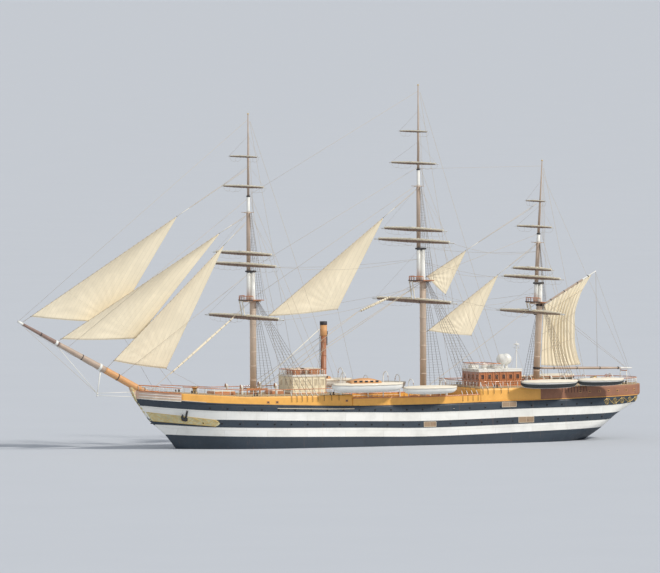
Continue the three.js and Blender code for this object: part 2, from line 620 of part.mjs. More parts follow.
// An arched davit in the plane across the ship at x, over a boat at boatY on the port side
function davitParts(x, boatY, boatTop, top) {
  const foot = deckAt(x) + seat;
  const post = edgeAt(x).half - davit.inboard;
  const end = THREE.MathUtils.degToRad(davit.reachEnd);
  const reach = (boatY - 20 - post) / (1 + Math.cos(end));
  const [outer, inner] = [reach + davit.width / 2, reach - davit.width / 2];
  const spring = top - outer;
  const shape = new THREE.Shape();
  shape.moveTo(post - davit.width / 2, foot);
  shape.lineTo(post - davit.width / 2, spring);
  shape.absarc(post + reach, spring, outer, Math.PI, end, true);
  shape.lineTo(post + reach + inner * Math.cos(end), spring + inner * Math.sin(end));
  shape.absarc(post + reach, spring, inner, end, Math.PI, false);
  shape.lineTo(post + davit.width / 2, foot);
  const arch = new THREE.ExtrudeGeometry(shape, { depth: davit.thick, bevelEnabled: false, curveSegments: 6 })
    .applyMatrix4(new THREE.Matrix4().makeBasis(new THREE.Vector3(0, 1, 0), new THREE.Vector3(0, 0, 1),
      new THREE.Vector3(1, 0, 0))).translate(x - davit.thick / 2, 0, 0);
  const tip = [x, post + reach + reach * Math.cos(end), spring + reach * Math.sin(end)];
  return { arch, fall: rod(tip, [x, boatY, boatTop], davit.fall), post: [x, post, foot + davit.sparHeight] };
}

for (const [pairName, pair] of boatPairs) {
  const parts = [];
  const posts = [];
  for (const [aft, fore, y, keel, gunwale, half, cover, top] of pair) {
    parts.push(loft(boatRings(aft, fore, y, keel, gunwale, half, cover)));
    for (const part of davit.at) {
      const made = davitParts(aft + part * (fore - aft), y, gunwale - 10, top);
      parts.push(made.arch, made.fall);
      posts.push(made.post);
    }
  }
  posts.sort((a, b) => a[0] - b[0]);
  for (let i = 0; i + 1 < posts.length; i += 1) parts.push(rod(posts[i], posts[i + 1], davit.spar));
  const port = joined(parts);
  addMesh(`port_${pairName}_boats`, port, 'white');
  addMesh(`starboard_${pairName}_boats`, closed(port.clone().scale(1, -1, 1)), 'white');
}

for (const [name, side] of [['port', 1], ['starboard', -1]]) {
  const shape = slab(anchorOutline, anchorPlace.thick);
  shape.rotateX(-side * THREE.MathUtils.degToRad(anchorPlace.flare));
  shape.translate(anchorPlace.x, side * anchorPlace.sideY, anchorPlace.z);
  const hullSide = hullShape.clone().translate(0, side * seat * 1.5, 0);
  addMesh(`anchor_${name}`, joined([shape], [hullSide]), 'steel');
}

addMesh('rudder', joined([slab(rudderOutline, rudder.thick),
  spar([rudder.axis, 0, rudder.low], [rudder.axis, 0, rudder.high], [[0, rudder.stock], [1, rudder.stock]],
    mastSides)]), 'black');

const hubTurn = Math.PI / 2;
const hubFore = aperture.fore - seat - propeller.x;
const hubShape = turned([[propeller.hub * 0.6, hubFore - propeller.hubLength],
  [propeller.hub, hubFore - propeller.hubLength * 0.6], [propeller.hub, hubFore]], 12).rotateY(hubTurn);
const bladeOutline = new THREE.Shape();
bladeOutline.absellipse(0, (propeller.radius + propeller.hub * 0.5) / 2, propeller.blade[0],
  (propeller.radius - propeller.hub * 0.5) / 2, 0, Math.PI * 2);
const bladeShape = new THREE.ExtrudeGeometry(bladeOutline, { depth: propeller.blade[1], bevelEnabled: false,
  curveSegments: 10 }).translate(0, 0, -propeller.blade[1] / 2).rotateY(THREE.MathUtils.degToRad(90 - propeller.pitch));
const blades = Array.from({ length: propeller.blades }, (_, i) => (
  bladeShape.clone().rotateX(i * 2 * Math.PI / propeller.blades)));
const screw = addMesh('propeller', joined([hubShape, ...blades]), 'bronze');
screw.position.set(propeller.x, 0, propeller.z);

export default ship;
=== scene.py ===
"""A three-masted, full-rigged ship as a 1:10 scale model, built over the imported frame.

Tables that MM multiplies are in millimetres of the model, where 100 mm is one metre of the full-size ship.
All other lengths are metres of the model. X points to the bow, Y to port and Z up. The origin is on the
centreline at the waterline."""

import math
from types import SimpleNamespace

import bmesh
import bpy
import numpy as np
from mathutils import Matrix, Vector


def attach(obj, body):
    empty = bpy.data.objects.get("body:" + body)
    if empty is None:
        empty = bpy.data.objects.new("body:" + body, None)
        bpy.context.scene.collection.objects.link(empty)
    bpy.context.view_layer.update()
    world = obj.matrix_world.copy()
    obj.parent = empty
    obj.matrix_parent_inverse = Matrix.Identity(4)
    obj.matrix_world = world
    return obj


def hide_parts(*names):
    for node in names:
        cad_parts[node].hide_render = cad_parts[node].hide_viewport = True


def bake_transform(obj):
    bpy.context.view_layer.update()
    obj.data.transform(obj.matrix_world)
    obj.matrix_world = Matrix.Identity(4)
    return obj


bl_info = {
    "name": "Tall ship",
    "version": (1, 0, 0),
    "blender": (4, 5, 0),
    "location": "View3D > Sidebar > Tall ship",
    "description": "A three-masted full-rigged ship with its sails, boats and rigging",
    "category": "Add Mesh",
}

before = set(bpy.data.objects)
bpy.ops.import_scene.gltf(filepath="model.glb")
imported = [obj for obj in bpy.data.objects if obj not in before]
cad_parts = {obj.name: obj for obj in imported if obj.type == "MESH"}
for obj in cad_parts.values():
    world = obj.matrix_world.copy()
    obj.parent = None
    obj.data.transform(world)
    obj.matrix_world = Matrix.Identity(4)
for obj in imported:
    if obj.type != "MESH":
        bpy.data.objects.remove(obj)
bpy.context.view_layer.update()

MM = 0.001
SIDES = (1, -1)
PORT_AND_STARBOARD = (("port", 1), ("starboard", -1))

# The hull's sections, from the counter to the stem, as in the part's source
STATIONS = np.array([
    # x, heel, body, wall, sheer, half-breadth at the wall, half-breadth at the sheer, fullness
    [-4170, 595, 600, 625, 662, 230, 250, 2.0],
    [-4120, 545, 550, 590, 662, 330, 360, 2.0],
    [-4030, 495, 500, 560, 660, 410, 450, 1.8],
    [-3750, 320, 325, 440, 655, 500, 560, 1.5],
    [-3430, 35, 40, 240, 650, 580, 640, 1.2],
    [-3142, -170, -165, 160, 648, 620, 675, 1.0],
    [-2800, -730, -420, 120, 640, 670, 710, 1.15],
    [-2300, -730, -630, 90, 633, 715, 740, 1.5],
    [-1500, -730, -700, 60, 625, 760, 760, 2.1],
    [-400, -730, -690, 40, 608, 775, 762, 2.6],
    [800, -730, -690, 50, 608, 775, 760, 2.5],
    [1800, -730, -670, 80, 630, 730, 735, 1.9],
    [2400, -695, -620, 120, 650, 620, 680, 1.45],
    [2850, -570, -490, 160, 670, 460, 610, 1.15],
    [3100, -350, -320, 220, 685, 340, 550, 1.05],
    [3350, -5, 0, 320, 705, 260, 470, 1.0],
    [3530, 215, 220, 420, 720, 190, 400, 1.0],
    [3800, 445, 450, 580, 740, 110, 260, 1.1],
    [3920, 610, 615, 680, 752, 70, 150, 1.3],
    [4010, 730, 735, 745, 760, 30, 42, 2.0],
])
HEEL, BODY, WALL, SHEER, WALL_HALF, SHEER_HALF, FULLNESS = range(1, 8)
KEEL_HALF = 20 * MM
FAIRING = 70 * MM
APERTURE = SimpleNamespace(aft=-3090 * MM, fore=-2860 * MM, high=-255 * MM)

# Heights of the two white bands along the side: lower band's edges, then the upper band's
BANDS = np.array([
    [-4170, 250, 350, 480, 572],
    [-3750, 215, 328, 425, 535],
    [-3350, 195, 306, 410, 522],
    [-2200, 170, 286, 396, 512],
    [-400, 135, 260, 367, 492],
    [700, 155, 284, 387, 514],
    [2900, 197, 326, 445, 572],
    [3600, 222, 366, 456, 622],
    [4010, 240, 390, 480, 665],
])

FORECASTLE = SimpleNamespace(aft=0.8, knee=2.5, fore=3.45, top=0.78, fore_top=0.84)
POOP = SimpleNamespace(aft=-4.17, fore=-1.3, top=0.83, overhang=0.068, overhang_low=0.745, overhang_half=0.19)
BULWARK = SimpleNamespace(height=0.12, wall=0.01, inset=0.002)
STANCHION_RADIUS, RAIL_WIRE_RADIUS, RAIL_RADIUS = 0.0032, 0.0018, 0.006
DECK_INSET = 5 * MM
TUMBLEHOME = 8 * MM
SCUTTLE_STEP, PORT_STEP = 0.26, 0.17

HOUSES = {
    "fore": SimpleNamespace(aft=1.02, front=1.56, half=0.25, floor=0.78, top=1.045, roof=1.068,
                            windows=(5, 3)),
    "bridge": SimpleNamespace(aft=-2.2, front=-1.5, half=0.29, floor=0.83, top=1.058, roof=1.095,
                              windows=(6, 4)),
}
HOUSE_WALL = 9 * MM
HOUSE_EAVE = 14 * MM
WINDOW = SimpleNamespace(wide=52 * MM, sill=0.5, head=0.84)
DOMES = ((-1.7, 0.06, 0.042, 1.15), (-1.975, 0.09, 0.085, 1.235), (-2.12, -0.07, 0.085, 1.232))
FUNNEL = SimpleNamespace(x=0.94, radius=0.042, cap=0.053, cap_low=1.64, top=1.86)
AERIAL = SimpleNamespace(x=-2.262, radius=0.007, top=1.5, arm_height=1.4, arm=0.09)

BOWSPRIT = np.array([[3480, 0, 650], [4570, 0, 1250], [5310, 0, 1610], [5900, 0, 1945]]) * MM
BOWSPRIT_RADII = np.array([55, 50, 34, 18]) * MM
STRIKER = SimpleNamespace(head=(4.57, 0, 1.23), end=(4.63, 0, 0.82), stem=(4.06, 0.024, 0.862))

MAST_OFFSET = 35 * MM
LOWER_RADIUS, HEAD_RADIUS, TOPMAST_RADIUS = 48 * MM, 34 * MM, 30 * MM
TOPGALLANT_RADIUS, TRUCK_RADIUS = 18 * MM, 7 * MM
MASTS = {
    name: SimpleNamespace(name=name, x=x * MM, deck=deck * MM, rake=math.radians(rake), top=top * MM,
                          lower_cap=lower_cap * MM, trees=trees * MM, upper_cap=upper_cap * MM,
                          truck=truck * MM, top_aft=top_aft * MM)
    for name, x, deck, rake, top, lower_cap, trees, upper_cap, truck, top_aft in (
        ("fore", 2130, 780, 0, 2200, 2640, 3510, 3760, 4990, 110),
        ("main", -670, 614.5, 0, 2450, 2940, 3870, 4130, 5400, 110),
        ("mizzen", -2550, 830, 3.1, 2090, 2390, 2990, 3130, 4240, 30),
    )
}
TOP = SimpleNamespace(half=0.17, front=0.15, thick=0.012)
TREES_HALF = 130 * MM
CAP_THICK = 26 * MM
TRUSS = SimpleNamespace(pin=0.008, height=0.046, lug=0.014)

YARD_AHEAD = 76 * MM
YARD_NAMES = ("lower_yard", "lower_topsail_yard", "upper_topsail_yard", "topgallant_yard", "royal_yard")
YARDS = {  # height, length and radius
    "fore": ((1940, 2900, 27), (2720, 2650, 22), (2890, 2280, 21), (3890, 1650, 15), (4340, 1150, 11)),
    "main": ((2140, 3000, 28), (3040, 2850, 23), (3210, 2350, 22), (4210, 1770, 15), (4690, 1100, 11)),
    "mizzen": ((1930, 2400, 22), (2450, 2200, 19), (2580, 1500, 17), (3220, 1350, 12), (3610, 750, 9)),
}
YARD_TAPER = np.array([[0, 0.42], [0.18, 0.74], [0.4, 1], [0.6, 1], [0.82, 0.74], [1, 0.42]])
YARD_HOOPS_AT = np.array([-0.38, -0.2, -0.08, 0.08, 0.2, 0.38])
LIFT_AT, BRACE_AT = 0.93, 0.95
BRACE_SAG = 0.09
GASKET_STEP, STIRRUP_STEP = 0.11, 0.24
RING_PLAY = 0.0006
CHAIN_INSET = 0.002

STAYSAILS = (
    # name, stay's low and high end, tack, head, clew as (x, z, y), belly to starboard
    ("flying_jib", (5850, 1915), (2165, 4180), (5690, 2013), (3330, 3464), (4240, 1900, -235), 90),
    ("outer_jib", (5310, 1610), (2165, 3485), (5210, 1670), (2640, 3202), (3890, 1650, -215), 80),
    ("inner_jib", (4490, 1210), (2165, 3400), (4360, 1332), (2570, 3018), (3430, 1190, -190), 70),
    ("main_topmast_staysail", (2095, 1765), (-635, 3845), (1850, 1952), (-50, 3400), (640, 2030, -150), 80),
    ("mizzen_topgallant_staysail", (-705, 2470), (-2610, 3580), (-770, 2508), (-1420, 2886),
     (-1100, 2230, -40), 40),
    ("mizzen_staysail", (-705, 1630), (-2610, 2975), (-790, 1690), (-1950, 2509), (-1540, 1600, -70), 50),
)
SPANKER = SimpleNamespace(tack=(-2672, 1135), throat=(-2724, 2030), peak=(-3530, 2500), clew=(-3340, 1130),
                          belly=45)
BOOM = SimpleNamespace(heel=(-2600, 1090), end=(-4200, 1062), radius=19, tip=0.5)
GAFF = SimpleNamespace(heel=(-2640, 2045), end=(-3600, 2545), radius=14, tip=0.55)
SAIL_THICK, COVER_THICK = 0.0014, 0.0016
BOLT_ROPE_RADIUS = 0.0026
HANK_STEP, BINDING_STEP = 0.09, 0.08

BOATS = (
    # pair, aft end, fore end, y, keel, gunwale, half-breadth, crown of the cover, top of the davits
    ("forward", 60, 1220, 920, 820, 940, 140, 95, 1130),
    ("forward", -830, 50, 920, 775, 870, 125, 32, 1010),
    ("after", -2840, -1900, 920, 820, 920, 128, 32, 1022),
    ("after", -3640, -2870, 865, 840, 930, 120, 30, 1022),
)
DAVITS_AT = (0.2, 0.8)


# Sizes and colours


def length_property(name, description, default):
    """A length that a user can change."""
    return bpy.props.FloatProperty(name=name, description=description, default=default, unit="LENGTH")


class ShipSizes(bpy.types.PropertyGroup):
    """Sizes that change how fine or heavy the fittings look."""

    rail_height: length_property("Rail height", "Height of the open rails above the deck", 0.1)
    rail_spacing: length_property("Stanchion spacing", "Distance between the stanchions of the open rails",
                                  0.12)
    plank_width: length_property("Plank width", "Width of a deck plank", 0.013)
    cloth_width: length_property("Sail cloth width", "Distance between the seams of a sail", 0.06)
    shroud_radius: length_property("Shroud radius", "Radius of the shrouds and backstays", 0.0024)
    line_radius: length_property("Line radius", "Radius of the running rigging", 0.0016)
    ratline_step: length_property("Ratline step", "Height between two ratlines", 0.04)
    lens_width: length_property("View width", "Width that the camera takes in at the ship", 9.9)


def colour_property(name, description, default):
    """A colour that a user can change."""
    return bpy.props.FloatVectorProperty(
        name=name, description=description, default=default, size=3, min=0, max=1, subtype="COLOR")


class ShipColours(bpy.types.PropertyGroup):
    """Main colours of the ship's paint, timber and canvas."""

    black: colour_property("Hull black", "Topsides between the white bands", (0.034, 0.048, 0.066))
    white: colour_property("White", "Bands, boats and mast doublings", (0.84, 0.83, 0.78))
    bottom: colour_property("Bottom", "Hull below the waterline", (0.22, 0.055, 0.035))
    ochre: colour_property("Ochre", "Forecastle, poop and bulwarks", (0.88, 0.45, 0.1))
    buff: colour_property("Buff", "Lower masts and their trestles", (0.68, 0.54, 0.42))
    # Partly painted shade: the yards' dark brown is their paint made darker for the shade under the furled
    # sails.
    yard: colour_property("Yard", "Yards, gaff and boom", (0.21, 0.12, 0.075))
    deck: colour_property("Deck", "Deck planking", (0.5, 0.36, 0.2))
    varnish: colour_property("Varnish", "Deckhouses and varnished rails", (0.5, 0.19, 0.075))
    canvas: colour_property("Canvas", "Sails", (0.86, 0.765, 0.58))
    cover: colour_property("Cover", "Boat covers", (0.82, 0.75, 0.62))
    wire: colour_property("Wire", "Stays and running rigging", (0.5, 0.42, 0.31))
    tarred: colour_property("Tarred rope", "Shrouds and ratlines", (0.2, 0.16, 0.13))
    gold: colour_property("Gilding", "Carved and gilded ornament", (0.72, 0.5, 0.16))


def sizes():
    """The sizes that the user has set."""
    return bpy.context.scene.ship_sizes


def colours():
    """The colours that the user has set."""
    return bpy.context.scene.ship_colours


# Finishes


def shaded(colour, factor=1.0):
    """The colour made darker or lighter by a factor, with its alpha."""
    return (*(min(1.0, c * factor) for c in colour), 1.0)


class Finish:
    """A material built up in layers on one Principled shader."""

    def __init__(self, name, colour, roughness=0.5, metallic=0.0, **sockets):
        self.material = bpy.data.materials.new(name)
        self.material.use_nodes = True
        tree = self.material.node_tree
        self.nodes, self.links = tree.nodes, tree.links
        self.shader = self.nodes["Principled BSDF"]
        for socket, value in {"Roughness": roughness, "Metallic": metallic, **sockets}.items():
            self.shader.inputs[socket.replace("_", " ")].default_value = value
        self.place = self.nodes.new("ShaderNodeTexCoord")
        self.colour, self.base = colour, shaded(colour)
        self.normal = None

    def feed(self, socket, value):
        """Links a node's output to the socket, or sets its value."""
        if isinstance(value, bpy.types.NodeSocket):
            self.links.new(value, socket)
        elif value is not None:
            socket.default_value = value

    def add(self, kind, inputs, output=0, **settings):
        """A new node with its inputs fed; gives back one of its outputs."""
        node = self.nodes.new(kind)
        for key, value in settings.items():
            setattr(node, key, value)
        for key, value in inputs.items():
            self.feed(node.inputs[key], value)
        return node.outputs[output]

    def where(self, source="Object", stretch=(1, 1, 1), turn=(0, 0, 0)):
        """Coordinates of the piece, or its UV map, stretched and turned."""
        return self.add("ShaderNodeMapping", {
            "Vector": self.place.outputs[source], "Scale": stretch, "Rotation": turn})

    def noise(self, scale, stretch=(1, 1, 1), detail=3.0):
        """Cloudy noise from 0 to 1."""
        return self.add("ShaderNodeTexNoise", {
            "Vector": self.where("Object", stretch), "Scale": scale, "Detail": detail, "Roughness": 0.6})

    def waves(self, source, scale, distortion, turn=(0, 0, 0)):
        """Even stripes from 0 to 1."""
        return self.add("ShaderNodeTexWave", {
            "Vector": self.where(source, turn=turn), "Scale": scale, "Distortion": distortion}, "Fac")

    def bricks(self, length, height, seam=0.0, source="UV"):
        """Staggered strips: a shade for each, or 1 on the seams between them where these have a width."""
        return self.add("ShaderNodeTexBrick", {
            "Vector": self.where(source), "Scale": 1.0, "Mortar Size": seam, "Mortar Smooth": 0.3,
            "Brick Width": length, "Row Height": height, "Color1": (0, 0, 0, 1), "Color2": (1, 1, 1, 1),
            "Mortar": (0.5, 0.5, 0.5, 1)}, "Fac" if seam else "Color")

    def part(self, value, low, high, most=1.0):
        """The value's place between low and high, as 0 to most."""
        return self.add("ShaderNodeMapRange", {
            "Value": value, "From Min": low, "From Max": high, "To Min": 0.0, "To Max": most})

    def tint(self, colour, mask):
        """Lays a colour over the base, or the finish's own made darker or lighter by a factor."""
        node = self.nodes.new("ShaderNodeMix")
        node.data_type = "RGBA"
        self.feed(node.inputs[0], mask)
        self.feed(node.inputs[6], self.base)
        self.feed(node.inputs[7], shaded(self.colour, colour) if isinstance(colour, float) else colour)
        self.base = node.outputs[2]

    def clouds(self, factor, scale, low, high, most, stretch=(1, 1, 1), detail=3.0):
        """Patches made darker or lighter by a factor, where a noise rises from low to high."""
        self.tint(factor, self.part(self.noise(scale, stretch, detail), low, high, most))

    def bump(self, height, distance, strength=1.0, invert=False):
        """Raises the surface by a height from 0 to 1 times the distance."""
        self.normal = self.add("ShaderNodeBump", {
            "Height": height, "Distance": distance, "Strength": strength, "Normal": self.normal},
            invert=invert)

    def rough(self, value, low, high):
        """Lets the roughness run from low to high with a noise."""
        self.feed(self.shader.inputs["Roughness"], self.add("ShaderNodeMapRange", {
            "Value": value, "From Min": 0.3, "From Max": 0.7, "To Min": low, "To Max": high}))

    def done(self):
        """The material, with its layers linked to the shader."""
        self.feed(self.shader.inputs["Base Color"], self.base)
        self.feed(self.shader.inputs["Normal"], self.normal)
        return self.material


def painted(name, colour, roughness=0.42, wear=0.5):
    """Brushed paint: cloudy patches, thin runs down from the edges and a faint orange peel."""
    finish = Finish(name, colour, roughness)
    finish.clouds(0.72, 7.0, 0.42, 0.75, wear)
    finish.clouds(1.22, 19.0, 0.55, 0.8, wear)
    finish.tint((0.3, 0.2, 0.13, 1), finish.part(finish.noise(34.0, (1, 1, 0.07)), 0.62, 0.85, wear * 0.5))
    finish.rough(finish.noise(11.0), roughness - 0.1, roughness + 0.16)
    finish.bump(finish.noise(240.0), 0.0004, 0.35)
    return finish.done()


def plated(name, colour, roughness=0.35, rust=0.3):
    """Painted steel plates in strakes, with their seams, slight dents and streaks that run down."""
    finish = Finish(name, colour, roughness)
    finish.tint(1.35, finish.part(finish.bricks(0.62, 0.13), 0, 1, 0.35))
    finish.clouds(0.7, 3.5, 0.45, 0.75, 0.5)
    finish.tint((0.34, 0.17, 0.08, 1), finish.part(finish.noise(26.0, (1, 1, 0.06), 5.0), 0.6, 0.86, rust))
    seam = finish.bricks(0.62, 0.13, 0.0016)
    finish.tint(0.5, finish.part(seam, 0, 1, 0.55))
    finish.rough(finish.noise(9.0), roughness - 0.08, roughness + 0.2)
    finish.bump(finish.noise(5.0, (1, 1, 2.2)), 0.004, 0.5)
    finish.bump(seam, 0.0012, 0.8, invert=True)
    return finish.done()


def planked(name, colour, seam=0.0011):
    """Deck planks along the ship, each of its own shade, with dark caulked seams and grain."""
    width = sizes().plank_width
    finish = Finish(name, colour, 0.62)
    finish.tint(1.35, finish.part(finish.bricks(0.7, width, source="Object"), 0, 1, 0.6))
    grain = finish.noise(60.0, (0.06, 1, 1), 6.0)
    finish.tint(0.66, finish.part(grain, 0.45, 0.8, 0.7))
    finish.clouds(0.8, 4.0, 0.5, 0.75, 0.6)
    gap = finish.bricks(0.7, width, seam, "Object")
    finish.tint((0.03, 0.024, 0.02, 1), finish.part(gap, 0, 1, 0.85))
    finish.bump(grain, 0.0003, 0.5)
    finish.bump(gap, 0.0008, 0.8, invert=True)
    return finish.done()


def grained(name, colour, roughness, coat=0.0, stretch=(0.08, 1, 1)):
    """Timber with its grain along one direction, cloudy where it has weathered."""
    finish = Finish(name, colour, roughness, Coat_Weight=coat, Coat_Roughness=0.12)
    grain = finish.noise(70.0, stretch, 6.0)
    finish.tint(0.5, finish.part(grain, 0.42, 0.72, 0.8))
    finish.clouds(1.5, 22.0, 0.55, 0.8, 0.5, stretch)
    finish.clouds(0.7, 6.0, 0.5, 0.8, 0.5)
    finish.rough(grain, roughness - 0.06, roughness + 0.12)
    finish.bump(grain, 0.0004, 0.5)
    return finish.done()


def cloth(name, colour, seams=True, sheen=0.25):
    """Canvas in narrow cloths with double seams, a fine weave and water stains."""
    width = sizes().cloth_width
    finish = Finish(name, colour, 0.86, Sheen_Weight=sheen, Sheen_Roughness=0.5, Specular_IOR_Level=0.2)
    finish.clouds(0.8, 3.0, 0.42, 0.8, 0.5, detail=5.0)
    finish.clouds(1.12, 9.0, 0.5, 0.8, 0.6)
    if seams:
        finish.tint(0.88, finish.part(finish.bricks(9.0, width), 0, 1, 0.4))
        seam = finish.bricks(9.0, width, 0.0022)
        finish.tint(0.66, finish.part(seam, 0, 1, 0.5))
        finish.bump(seam, 0.0008, 0.8)
    finish.bump(finish.waves("UV" if seams else "Object", 260.0, 1.5), 0.0003, 0.3)
    finish.bump(finish.noise(26.0, detail=4.0), 0.002, 0.3)
    return finish.done()


def laid_rope(name, colour, roughness=0.8):
    """Rope or served wire, with its strands twisted round it."""
    finish = Finish(name, colour, roughness)
    strand = finish.waves("UV", 130.0, 0.4, (0, 0, 0.8))
    finish.tint(0.62, finish.part(strand, 0.35, 0.9, 0.6))
    finish.clouds(0.8, 12.0, 0.45, 0.7, 0.5)
    finish.bump(strand, 0.0005, 0.5)
    return finish.done()


def cast(name, colour, roughness, metallic, patina, amount=0.6):
    """Metal with a patina in its hollows and a slightly pitted skin."""
    finish = Finish(name, colour, roughness, metallic)
    finish.tint(shaded(patina), finish.part(finish.noise(24.0, detail=5.0), 0.45, 0.7, amount))
    finish.rough(finish.noise(40.0), roughness - 0.1, roughness + 0.2)
    finish.bump(finish.noise(160.0), 0.0006, 0.5)
    return finish.done()


def make_finishes():
    """The material of every finish, by the finish's name."""
    c = colours()
    return {
        "hull_black": plated("hull_black", c.black, 0.5),
        "hull_white": plated("hull_white", c.white, 0.4, 0.22),
        "bottom": plated("bottom_red", c.bottom, 0.6, 0.2),
        "ochre": painted("ochre_paint", c.ochre),
        "buff": painted("buff_paint", c.buff, 0.4, 0.45),
        # Partly painted shade: the yards' dark brown is their paint made darker for the shade under the
        # furled sails.
        "yard": painted("yard_paint", c.yard, 0.45, 0.5),
        # The poop's quarter: its own brown, darkened as painted shade for the shadow of the after boats.
        "quarter": painted("quarter_paint_and_boat_shade", (0.33, 0.15, 0.085), 0.5, 0.8),
        "shutter": painted("shutter_paint", (0.8, 0.7, 0.5), 0.5, 0.8),
        "door": painted("door_paint", (0.36, 0.25, 0.16), 0.5, 0.8),
        "cream": painted("cream_paint", (0.93, 0.84, 0.62), 0.45, 0.5),
        "head": painted("head_paint", (0.66, 0.47, 0.36), 0.45, 0.5),
        "field": painted("carved_field", (0.66, 0.6, 0.36), 0.5, 0.8),
        "funnel": painted("funnel_paint", (0.4, 0.16, 0.08), 0.4, 0.6),
        # Painted shade: near-black for the shaded undersides of the after boats.
        "shade": painted("boat_bottom_paint", (0.035, 0.04, 0.04), 0.5, 0.5),
        "white": painted("white_paint", c.white, 0.38, 0.3),
        "pole": painted("pole_paint", (0.47, 0.36, 0.28), 0.42, 0.5),
        "tan": painted("tan_paint", (0.66, 0.34, 0.14), 0.42, 0.5),
        "boom": painted("boom_paint", (0.26, 0.17, 0.14), 0.45, 0.6),
        "pale": painted("pale_buff_paint", (0.7, 0.6, 0.46), 0.45, 0.3),
        "deck": planked("deck_planks", c.deck),
        "varnish": grained("varnished_wood", c.varnish, 0.26, 0.6, (0.3, 0.3, 0.05)),
        "rail": grained("varnished_rail", shaded(c.varnish, 1.25)[:3], 0.3, 0.5),
        "canvas": cloth("sail_canvas", c.canvas),
        # Painted highlight: the furled canvas is the sail canvas made lighter, for sunlight on the rolls.
        "furled": cloth("furled_canvas_lit", shaded(c.canvas, 1.08)[:3], False),
        "cover": cloth("boat_cover", c.cover, False, 0.1),
        "rope": laid_rope("rope", c.wire),
        "wire": laid_rope("wire", shaded(c.wire, 1.25)[:3], 0.55),
        "bolt_rope": laid_rope("bolt_rope", (0.86, 0.82, 0.7)),
        "tarred": laid_rope("tarred_rope", c.tarred, 0.7),
        "iron": cast("dark_iron", (0.05, 0.052, 0.058), 0.55, 0.5, (0.12, 0.06, 0.04), 0.35),
        "bronze": cast("bronze", (0.62, 0.4, 0.16), 0.34, 0.9, (0.2, 0.28, 0.2)),
        "gilding": cast("gilding", c.gold, 0.4, 0.6, (0.75, 0.62, 0.36), 0.5),
        "glass": cast("dark_glass", (0.02, 0.028, 0.035), 0.14, 0.0, (0.05, 0.07, 0.08), 0.4),
    }


FINISHES = {}


def material(finish):
    """The material of a finish. The first call makes them all."""
    if not FINISHES:
        FINISHES.update(make_finishes())
    return FINISHES[finish]


# Surfaces as arrays


def spots(x, y, z):
    """Points from their x, y and z, each a value or an array."""
    return np.stack(np.broadcast_arrays(x, y, z), -1)


def mirrored(points, side):
    """Points of the port side, or their mirror image to starboard where side is -1."""
    return np.asarray(points, float) * [1, side, 1]


def unit(vectors):
    """Vectors over their own length."""
    return vectors / np.linalg.norm(vectors, axis=-1, keepdims=True)


def distances(path):
    """Distance along a path to each of its points."""
    return np.concatenate([[0], np.cumsum(np.linalg.norm(np.diff(path, axis=0), axis=1))])


def circle(sides, across, other):
    """Angles round a circle, and its points: the cosine times one direction and the sine times the other."""
    turn = np.arange(sides) * 2 * np.pi / sides
    return turn, np.cos(turn)[:, None] * across[:, None] + np.sin(turn)[:, None] * other[:, None]


def grid_faces(rows, columns, wrap=False):
    """Quads over a grid of rows by columns of points; wrap joins each row's last point to its first."""
    r, c = np.meshgrid(np.arange(rows - 1), np.arange(columns if wrap else columns - 1), indexing="ij")
    a, b = r * columns + c, r * columns + (c + 1) % columns
    return np.stack([a, b, b + columns, a + columns], -1).reshape(-1, 4)


